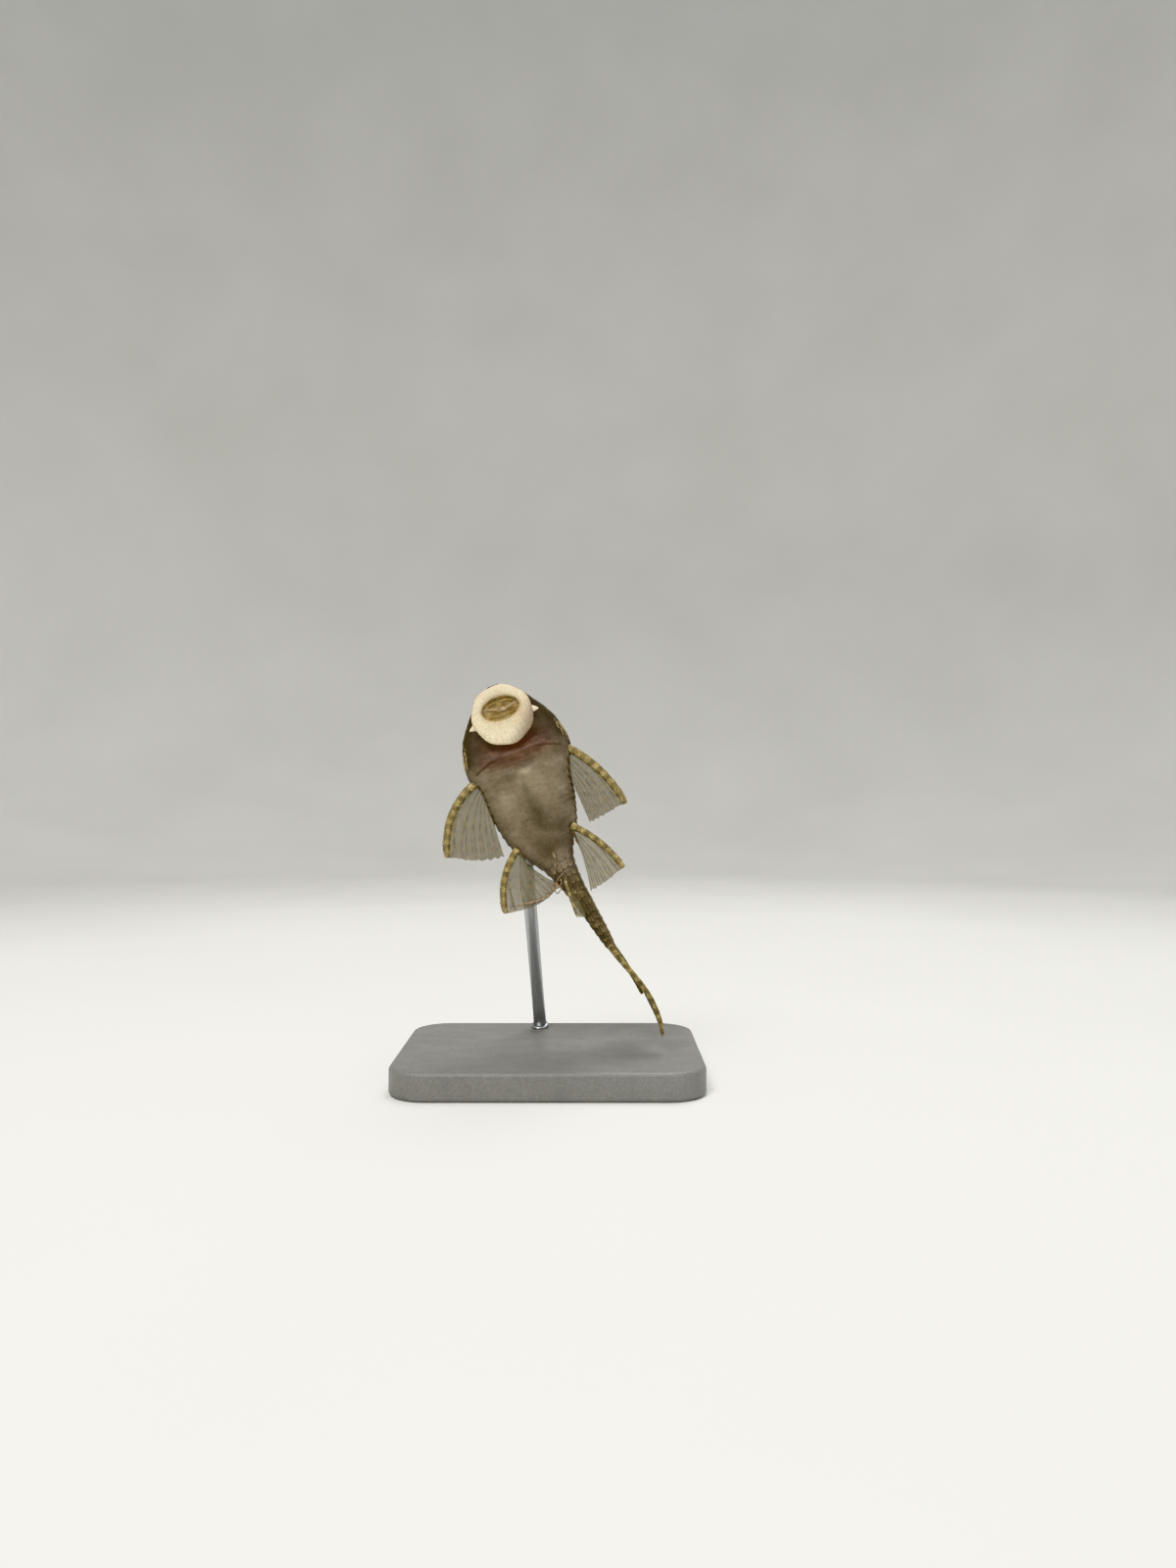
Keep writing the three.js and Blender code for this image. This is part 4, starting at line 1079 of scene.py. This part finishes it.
def spine_thickness(spine, t):
    """A fin spine's radius, which tapers along it and rounds off at its tip."""
    tip = np.sqrt(np.clip(1 - (np.maximum(t - 0.9, 0) / 0.101) ** 2, 0, 1))
    return blended(spine[0], spine[1], t) * (0.2 + 0.8 * tip)


def ray_ridges(across, t):
    """How high the rays stand at a place across the fin, in rays, where each forks twice."""
    off = across - np.round(across)
    total = np.zeros(np.broadcast(across, t).shape)
    for one in (-0.2, 0.2):
        for two in (-0.09, 0.09):
            fork = one * smooth(0.38, 0.8, t) + two * smooth(0.7, 1.0, t)
            total = np.maximum(total, hill(off - fork, 0.11 - 0.045 * t))
    return total


def edge_ways(place, edge, t, step):
    """Points along a fin's edge, at v 0 or 1, and the ways from them outward and over the fin."""
    near = place(edge, t)
    onward = unit(place(edge, t + step) - near)
    inward = place(edge + (-0.1 if edge else 0.1), t) - near
    return near, onward, unit(inward - onward * np.sum(inward * onward, -1, keepdims=True))


def make_fin(name, node, place, material, rays, spine, edges=(0.0,), length=12.0, dense=12, rows=84):
    """A fin as one closed sheet: a round spine, forked rays, and thin skin between them."""
    t = np.linspace(0, 1, rows)[None, :]
    ring = np.cos(np.linspace(math.pi, 0, 15))
    web = np.linspace(0, 1, rays * dense + 1)
    two_spines = len(edges) > 1
    parts = [(0 * ring, ring, 0 * ring + 1)]
    if two_spines:
        parts += [(web[1:-1], 0 * web[1:-1], 0 * web[1:-1]), (0 * ring + 1, -ring[::-1], 0 * ring + 1)]
    else:
        parts += [(web[1:], 0 * web[1:], 0 * web[1:])]
    v, offset, is_spine = (np.concatenate(part)[:, None] for part in zip(*parts))

    thick = spine_thickness(spine, t)
    across = v * rays
    uneven = 0.006 * np.sin(across * 5.3) + 0.004 * np.sin(across * 11.7 + 1)
    dips = 0.013 * (0.5 - 0.5 * np.cos(2 * math.pi * across))
    scallop = np.where(is_spine > 0, 1.0, 0.992 - dips + uneven)
    tt = t * scallop
    points = place(v, tt)
    for edge in edges:
        inward = edge_ways(place, edge, tt, 0.05)[2]
        away = np.abs(v - edge)
        across_spine = np.where(away == 0, -offset if edge else offset, 0)
        shift = np.where(is_spine > 0, across_spine, np.maximum(0, 1 - (3 if two_spines else 1) * away))
        points = points + inward * (shift * thick)[..., None]

    normal = unit(np.cross(np.gradient(points, axis=0), np.gradient(points, axis=1)))
    ridge = ray_ridges(across, t) * (1 - is_spine)
    skin_half = 0.09 - 0.035 * t
    half = skin_half + (0.15 - 0.095 * t) * np.clip(ridge, 0, 1)
    spine_half = thick * np.sqrt(np.clip(1 - offset**2, 0, 1)) + 0.02
    half = np.where(is_spine > 0, spine_half, half)
    web_sag = 0.07 * t * np.cos(2 * math.pi * across) * (1 - is_spine)
    points = points + normal * web_sag[..., None]
    front = points + normal * half[..., None]
    rear = points - normal * half[..., None]

    columns, count = points.shape[:2]
    faces = grid_faces(columns, count)
    other = faces[:, ::-1] + columns * count
    border = np.concatenate([
        np.arange(columns - 1) * count, (columns - 1) * count + np.arange(count - 1),
        np.arange(columns - 1, 0, -1) * count + count - 1, np.arange(count - 1, 0, -1)])
    onward = np.roll(border, -1)
    strip = np.stack([border, border + columns * count, onward + columns * count, onward], -1)
    both = np.concatenate([front.reshape(-1, 3), rear.reshape(-1, 3)])
    all_faces = outward_faces(both, np.concatenate([faces, other, strip]))
    values = {"ray": np.clip(ridge * 1.3, 0, 1) * (1 - 0.35 * t), "spiny": is_spine,
              "reach": t * length, "row": across}
    for key, value in values.items():
        values[key] = np.tile(np.broadcast_to(value, points.shape[:2]).ravel(), 2)
    fin = make_object(name, both, all_faces.tolist(), material, values)
    finish_piece(fin, "fin", node)


def spine_denticles(name, place, spine, edge, count, short, long, material):
    """Rough denticles over a fin spine, longest on its outer side and towards its tip."""
    t = random.uniform(0.12, 0.985, count)
    turn = random.uniform(0, 2 * math.pi, count)
    near, onward, inward = edge_ways(place, edge, t, 0.02)
    across, rise = np.cos(turn)[:, None], np.sin(turn)[:, None]
    out = np.cross(onward, inward) * rise - inward * across
    roots = near + out * (spine_thickness(spine, t)[:, None] + 0.01)
    length = blended(short, long, t**1.2 * (0.6 + 0.4 * np.cos(turn))) * random.uniform(0.7, 1.15, count)
    ways = out * 0.75 + onward * 0.85 + random.normal(size=out.shape) * 0.12
    patch = on_sheet(np.stack([turn / (2 * math.pi), t], -1))
    clear = np.cos(turn) >= -0.75
    roots, ways, length, patch = (part[clear] for part in (roots, ways, length, patch))
    thorns(name, roots, ways, length, length * 0.17 + 0.015, patch, material, "fin")


def make_margin(place, material):
    """The right pelvic fin's rear margin, gathered into a curled fold that runs in to the vent."""
    v = np.linspace(0.07, 1, 70)
    middle = place(v, 0.9 + 0.07 * v - 0.02 * np.sin(v * 9)) - directions(24.0)[2] * 0.15
    size = (0.13 + 0.12 * v**0.6) * (1 + 0.13 * np.sin(v * 21) + 0.08 * np.sin(v * 47))
    size = size * np.sqrt(smooth(0.05, 0.16, v))
    rings = rope(middle, size, 16)
    joined_horns("pelvic_margin", [(rings, skin_patch(26.0, 250))], material, "fin")


def make_fins(denticles, margin):
    """Every fin, with denticles on the spines of the larger ones."""
    straw = "beac74"
    web = fin_material("fin", "706848", "5a4c2e", straw, 0.4)
    pale_web = fin_material("fin_pale", "7c7654", "5e5232", straw, 0.34)
    dark_web = fin_material("fin_dark", "50442a", "382e18", "928256", 0.58)
    curled = paired_place(PELVIC_ROOT, -1, 0, (60, 8), (-24, -44), (9.8, 5.8))
    dorsal = midline_place(BACK, (19, 27.6), (11.4, 5.6), 1.3, (58, 34), (50, 26), 0.9, sway=0.25)
    pectoral = {"rays": 6, "spine": (0.62, 0.44), "dense": 14}
    pelvic = {"rays": 5, "spine": (0.5, 0.38), "length": 9}
    fins = [
        ("pectoral_left", "pectoral_fin_left", web, pectoral, (700, 0.1, 0.3),
         paired_place(PECTORAL_ROOT, 1, 0.9, (48, 9), (4, 4), (13.4, 10))),
        ("pectoral_right", "pectoral_fin_right", web, pectoral, (700, 0.1, 0.3),
         paired_place(PECTORAL_ROOT, -1, -0.3, (76, 9), (7, 1), (13, 9.8))),
        ("pelvic_left", "pelvic_fin_left", pale_web, pelvic, (380, 0.08, 0.22),
         paired_place(PELVIC_ROOT, 1, 0.1, (44, 12), (0, -15), (9.8, 8.2))),
        ("pelvic_right", "pelvic_fin_right", web, pelvic, (380, 0.08, 0.22), curled),
        ("dorsal", "dorsal_fin", dark_web, {"rays": 7, "spine": (0.5, 0.3), "length": 11},
         (300, 0.1, 0.2), dorsal),
        ("adipose", "adipose_fin", dark_web, {"rays": 2, "spine": (0.42, 0.3), "length": 3, "rows": 30},
         None, midline_place(BACK, (34.3, 36.9), (2.6, 1.1), 1, (42, 42), (22, 22), 0.6)),
        ("anal", "anal_fin", pale_web, {"rays": 4, "spine": (0.26, 0.17), "length": 6, "rows": 50},
         None, midline_place(BELLY, (28.2, 30.8), (6.5, 4.5), 1, (24, 16), (16.8, 11.2), 0.6, tilt=38)),
        ("caudal", "caudal_fin", web,
         {"rays": 15, "spine": (0.44, 0.3), "edges": (0.0, 1.0), "length": 14, "dense": 10},
         (300, 0.1, 0.22), caudal_place),
    ]
    for name, node, material, build, rough, place in fins:
        make_fin(name, node, place, material, **build)
        edges = build.get("edges", (0.0,)) if rough else ()
        for edge in edges:
            word = f"{name}_denticles_{int(edge)}" if len(edges) > 1 else f"{name}_denticles"
            spine_denticles(word, place, build["spine"], edge, *rough, denticles)
    make_margin(curled, margin)


# The stand


def base_ring(inset, height, count=40):
    """Points round the base's outline at a height, drawn in by inset."""
    x, y = BASE_SIZE[0] / 2 - BASE_CORNER, BASE_SIZE[1] / 2 - BASE_CORNER
    radius = BASE_CORNER - inset
    points = []
    for quarter, (cx, cy) in enumerate([(x, y), (-x, y), (-x, -y), (x, -y)]):
        for k in range(count):
            turn = (quarter + k / (count - 1)) * math.pi / 2
            points.append((cx + radius * math.cos(turn), cy + radius * math.sin(turn), height))
    return points


def make_stand(stand, rod):
    """The base, with rounded edges, and the leaning rod with a collar at its foot."""
    top = BASE_SIZE[2]
    bevel = [(BASE_BEVEL * (1 - math.sin(turn)), BASE_BEVEL * (1 - math.cos(turn)))
             for turn in np.linspace(0, math.pi / 2, 9)]
    steps = [(3.0, 0.0), *bevel, *((inset, top - rise) for inset, rise in reversed(bevel)),
             (1.6, top), (3.0, top), (4.8, top)]
    base = tube("base", np.array([base_ring(*step) for step in steps]), stand)
    finish_piece(base, "stand", "stand_base")

    end = skin_at(ROD_S, ROD_ANGLE, detailed=False)
    length = np.linalg.norm(end - ROD_FOOT)
    way = unit(end - ROD_FOOT)
    out = outward_at(ROD_S, ROD_ANGLE)

    def turned(stations, floor):
        """Rings at distances along the rod and radii, kept above the floor."""
        along, radius = (np.array(part)[:, None, None] for part in zip(*stations))
        rings = rings_round(ROD_FOOT + way * along, radius, way, out, 48)
        rings[..., 2] = np.maximum(rings[..., 2], floor)
        return rings

    shaft = turned([(-0.6, 0.2), *((along, ROD_RADIUS) for along in (-0.6, 4, 12, 22, length - 1.2)),
                    (length + 0.4, 0.97)], top - 0.4)
    finish_piece(tube("rod", shaft, rod), "rod", "stand_rod")
    collar = turned([(0.1, 1.02), (0.1, 1.3), (0.25, 1.36), (0.5, 1.36), (0.65, 1.3), (0.7, 1.02)],
                    top + 0.01)
    finish_piece(tube("rod_collar", collar, rod), "rod")


# Stage, lights and camera


def make_stage(material):
    """A pale round floor that curves up into a wall all round, open to the sky above."""
    flat, bend, top = 380, 240, 760
    profile = [(r, 0.0) for r in (1, 60, 160, 270, flat)]
    for turn in np.linspace(0.06, math.pi / 2, 24):
        profile.append((flat + bend * math.sin(turn), bend * (1 - math.cos(turn))))
    profile.append((flat + bend, top))
    around = turns(120)
    points = np.array([[(r * math.cos(a), r * math.sin(a), z) for a in around] for r, z in profile])
    faces = grid_faces(len(profile), len(around), around=True).tolist()
    faces.append(list(range(len(around))))
    make_object("stage", points, faces, material)


def make_lights():
    """Three soft round lights and an even sky."""
    for name, place, size, power, colour in LIGHTS:
        data = bpy.data.lights.new(name, "AREA")
        data.shape = "DISK"
        data.size = size * MM
        data.energy = power
        data.color = colour
        light = place_object(name, data, place)
        light.visible_camera = False
        light.rotation_euler = (Vector(LIGHTS_AIM) - Vector(place)).to_track_quat("-Z", "Y").to_euler()
    world = bpy.data.worlds.new("studio")
    bpy.context.scene.world = world
    world.use_nodes = True
    background = world.node_tree.nodes["Background"]
    background.inputs["Color"].default_value = SKY
    background.inputs["Strength"].default_value = SKY_POWER
    bpy.context.scene.view_settings.view_transform = "Khronos PBR Neutral"


def make_camera():
    data = bpy.data.cameras.new("camera")
    data.lens = LENS
    data.sensor_width = SENSOR
    data.clip_start = 0.005
    data.clip_end = 5
    camera = place_object("camera", data, CAMERA_AT)
    camera.rotation_euler = (math.pi / 2, 0, 0)
    bpy.context.scene.camera = camera


make_camera()
make_stage(stage_material())
make_lights()

LIPS = lips_material()
DENTICLES = denticle_material()
FLESH = flesh_material()
MARGIN = margin_material()
EYES = eye_material()
make_skin(skin_material())
make_eye("left", EYE_ANGLE, EYES)
make_eye("right", 180 - EYE_ANGLE, EYES)
make_disc(LIPS)
make_teeth(tooth_material())
make_barbels(LIPS)
body_denticles(DENTICLES)
snout_tentacles(FLESH)
cheek_spines(DENTICLES)
nostril_flaps(FLESH)
vent_folds(MARGIN)
make_fins(DENTICLES, MARGIN)
make_stand(stand_material(), rod_material())

bpy.context.view_layer.update()
